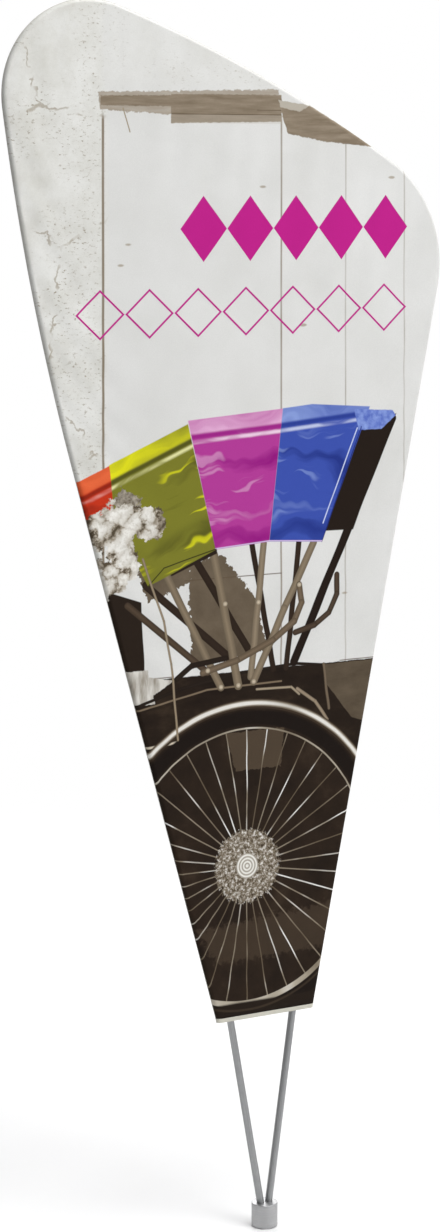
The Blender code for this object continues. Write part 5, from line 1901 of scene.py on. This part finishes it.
@dataclass
class Hub:
    """The turned hub, with sockets for the legs and two set-screw holes at the back."""

    legs: Legs
    radius: float = 0.0230
    bottom: float = 0.0010
    top: float = 0.0415
    edge: float = 0.0011
    seat: float = 0.0163
    groove: float = 0.0176
    groove_low: float = 0.0022
    groove_high: float = 0.0039
    shoulder: float = 0.0135
    chamber: float = 0.0140
    chamber_top: float = 0.0250
    grub_drop: float = 0.0105
    grub_radius: float = 0.0024

    def build(self) -> bpy.types.Object:
        """Makes the hub's body."""
        rounding = [math.pi / 2 * step / 5 for step in range(6)]
        inset = self.radius - self.edge
        outer = [
            (
                inset + self.edge * math.sin(angle), self.top - self.edge + self.edge * math.cos(angle)
            ) for angle in rounding
        ]
        lower = [
            (inset + self.edge * math.cos(angle), self.bottom + self.edge - self.edge * math.sin(angle))
            for angle in rounding
        ]
        profile = [
            (0, self.top), *outer, *lower,
            (self.seat + 0.0004, self.bottom), (self.seat, self.bottom + 0.0004), (
                self.seat, self.groove_low
            ),
            (self.groove, self.groove_low), (self.groove, self.groove_high), (
                self.seat, self.groove_high
            ),
            (self.seat, self.shoulder), (self.chamber, self.shoulder), (self.chamber, self.chamber_top), (
                0, self.chamber_top
            ),
        ]  # fmt: skip
        body = finished(
            "turned_hub", turned(profile, 120, Matrix.Identity(4)), HUB_METAL.material(None, True)
        )
        tools = []
        for _, place, _ in self.legs.places():
            tools.append(
                cylinder(self.legs.tube_radius + self.legs.gap, -self.legs.socket, 0.02, place, 64)
            )
            down = -self.grub_drop / place.col[2].z
            behind = Matrix.Translation(place @ Vector((0, 0, down))) @ Matrix.Rotation(
                -math.pi / 2, 4, "X"
            )
            tools.append(cylinder(self.grub_radius + self.legs.gap, 0.0, 0.05, behind, 40))
        cut(body, tools)
        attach(body, "flag")
        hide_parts("hub_body")
        return body


# ---- Snap springs ----


@dataclass(frozen=True)
class SnapSpring:
    """The bent strip under one snap button."""

    joint: str
    axis: Vector
    travel: float

    def build(self, material: bpy.types.Material) -> bpy.types.Object:
        """Makes the strip from the CAD node's mesh.

        Args:
            material: the spring steel.

        Returns:
            The strip.
        """
        name = self.joint.replace("_press", "_spring")
        bm = bmesh.new()
        bm.from_mesh(frame["nodes"][name].data)
        strip = finished(name + "_strip", settled(bm), material)
        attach(strip, "flag")
        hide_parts(name)
        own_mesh(strip)
        return strip


def build_springs() -> None:
    """Makes the strip of every snap button."""
    steel = SPRING_STEEL.material()
    for joint in frame["joints"]:
        if joint["name"].endswith("_press"):
            SnapSpring(
                joint["name"], Vector(joint["axis"]).normalized(), joint["range_m"][1]
            ).build(steel)


# ---- Carried-over nodes ----


def dress(names: Iterable[str], make: Callable[[], bpy.types.Material]) -> None:
    """Gives CAD nodes one new finish."""
    material = make()
    for name in names:
        node = frame["nodes"][name]
        node.data.materials.clear()
        node.data.materials.append(material)
        LOG.info("%s takes %s", name, material.name)


def dress_frame() -> None:
    """Finishes every CAD node that stays, by what it is made of."""
    nodes = frame["nodes"]
    finishes = {
        "anodised": lambda: TUBE_METAL.material(),
        "rail": lambda: TUBE_METAL.material(Matrix.Rotation(math.pi / 2, 4, "Y")),
        "steel": lambda: STEEL.material(None, True),
        "bearing": lambda: BEARING_STEEL.material(None, True),
        "spring": lambda: SPRING_STEEL.material(),
        "cage": CAGE_PLASTIC.material,
        "elbow": ELBOW_PLASTIC.material,
        "soft": lambda: HEM_TAPE.material(),
        "nylon": COIL_NYLON.material,
        "zip": lambda: ZIP_METAL.material(),
    }
    groups: dict[str, list[str]] = {key: [] for key in finishes}
    for name in sorted(nodes):
        if name == "bottom_rail":
            key = "rail"
        elif "coil" in name:
            key = "nylon"
        elif name.startswith("zip") and "tape" not in name:
            key = "zip"
        elif "panel" in name or "hem" in name or "tape" in name:
            key = "soft"
        elif name.endswith("elbow"):
            key = "elbow"
        elif name == "bearing_cage":
            key = "cage"
        elif name.startswith(("bearing_ball", "bearing_inner", "bearing_outer")):
            key = "bearing"
        elif name.endswith(("spring", "circlip", "snap_ring")):
            key = "spring"
        elif name.endswith(("tube", "spigot", "hub_body")):
            key = "anodised"
        else:
            key = "steel"
        groups[key].append(name)
    for key, names in groups.items():
        if names:
            dress(names, finishes[key])


# ---- Studio ----


@dataclass
class Studio:
    """Pale floor, soft light and the camera."""

    spot: tuple[float, float, float] = (-2.483, -4.271, 1.866)
    yaw: float = math.radians(29.26)
    pitch: float = math.radians(1.09)
    focal: float = 2816.1 / 1232 * 36
    shift: float = -0.32
    floor_reach: float = 3.4

    def camera(self) -> None:
        """Sets up the camera."""
        data = bpy.data.cameras.new("camera")
        data.lens, data.sensor_width, data.shift_y = self.focal, 36.0, self.shift
        data.clip_end = 200.0
        camera = bpy.data.objects.new("camera", data)
        camera.location = self.spot
        camera.rotation_euler = (math.pi / 2 - self.pitch, 0, -self.yaw)
        bpy.context.scene.collection.objects.link(camera)
        bpy.context.scene.camera = camera

    def floor(self) -> None:
        """A pale floor that fades out into the white surroundings."""
        bm = bmesh.new()
        bmesh.ops.create_grid(bm, x_segments=8, y_segments=8, size=5)
        material, lay, shader = bare_material("studio_floor")
        point = lay.object_point()
        dust = lay.noise(point, 3.0, 3.0)
        lay.feed(
            shader.inputs["Base Color"],
            lay.ramp(dust, [(0.3, ink(248, 248, 248)), (0.7, ink(250, 250, 250))]),
        )
        lay.feed(
            shader.inputs["Alpha"],
            lay.step(lay.vector("LENGTH", point), self.floor_reach, self.floor_reach / 3),
        )
        shader.inputs["Roughness"].default_value = 0.9
        shader.inputs["Specular IOR Level"].default_value = 0.1
        finished("studio_floor", bm, material)

    def light(self, name: str, spot: Vector, size: float, power: float) -> None:
        """One square soft light that faces the flag's middle."""
        data = bpy.data.lights.new(name, "AREA")
        data.size, data.energy = size, power
        lamp = bpy.data.objects.new(name, data)
        lamp.location = spot
        aim = Vector((0, 0, 1.2)) - spot
        lamp.rotation_euler = aim.to_track_quat("-Z", "Y").to_euler()
        bpy.context.scene.collection.objects.link(lamp)

    def surroundings(self) -> None:
        """White for the camera, and for the object a sky that is darker to the left."""
        world = bpy.data.worlds.new("studio")
        bpy.context.scene.world = world
        world.use_nodes = True
        lay = Recipe(world.node_tree)
        world.node_tree.nodes.clear()
        way = lay.node("TexCoord").outputs["Generated"]
        right = lay.vector("DOT_PRODUCT", way, (0.95, -0.10, 0.25))
        shade = lay.ramp(
            lay.math("MULTIPLY_ADD", right, 0.5, 0.5),
            [(0.10, (0.26, 0.26, 0.26, 1)), (0.50, (0.52, 0.52, 0.53, 1)), (0.9, (0.85, 0.85, 0.85, 1))],
        )
        soft, plain = lay.node("Background"), lay.node("Background")
        lay.feed(soft.inputs["Color"], shade)
        soft.inputs["Strength"].default_value = 0.80
        plain.inputs["Color"].default_value = WHITE
        seen = lay.node("LightPath").outputs["Is Camera Ray"]
        either, end = lay.node("MixShader"), lay.node("OutputWorld")
        lay.feed(either.inputs[0], seen)
        lay.feed(either.inputs[1], soft.outputs[0])
        lay.feed(either.inputs[2], plain.outputs[0])
        lay.feed(end.inputs["Surface"], either.outputs[0])

    def build(self) -> None:
        """Makes the whole studio."""
        self.camera()
        self.floor()
        self.surroundings()
        self.light("top_softbox", Vector((0.6, -1.2, 5.5)), 4.0, 158.0)
        self.light("key_softbox", Vector((2.6, -4.6, 3.2)), 2.6, 114.0)
        self.light("back_softbox", Vector((1.5, 4.2, 3.0)), 3.0, 110.0)
        bpy.context.scene.view_settings.view_transform = "Standard"


def main() -> None:
    """Builds the flag's looks, assembly by assembly."""
    Studio().build()
    dress_frame()
    case, zip_place, legs = FabricCase(), ZipPlace(), Legs()
    case.build(zip_place)
    ZipFastener(zip_place, case).build()
    legs.build()
    Hub(legs).build()
    build_springs()


if __name__ == "__main__":
    main()
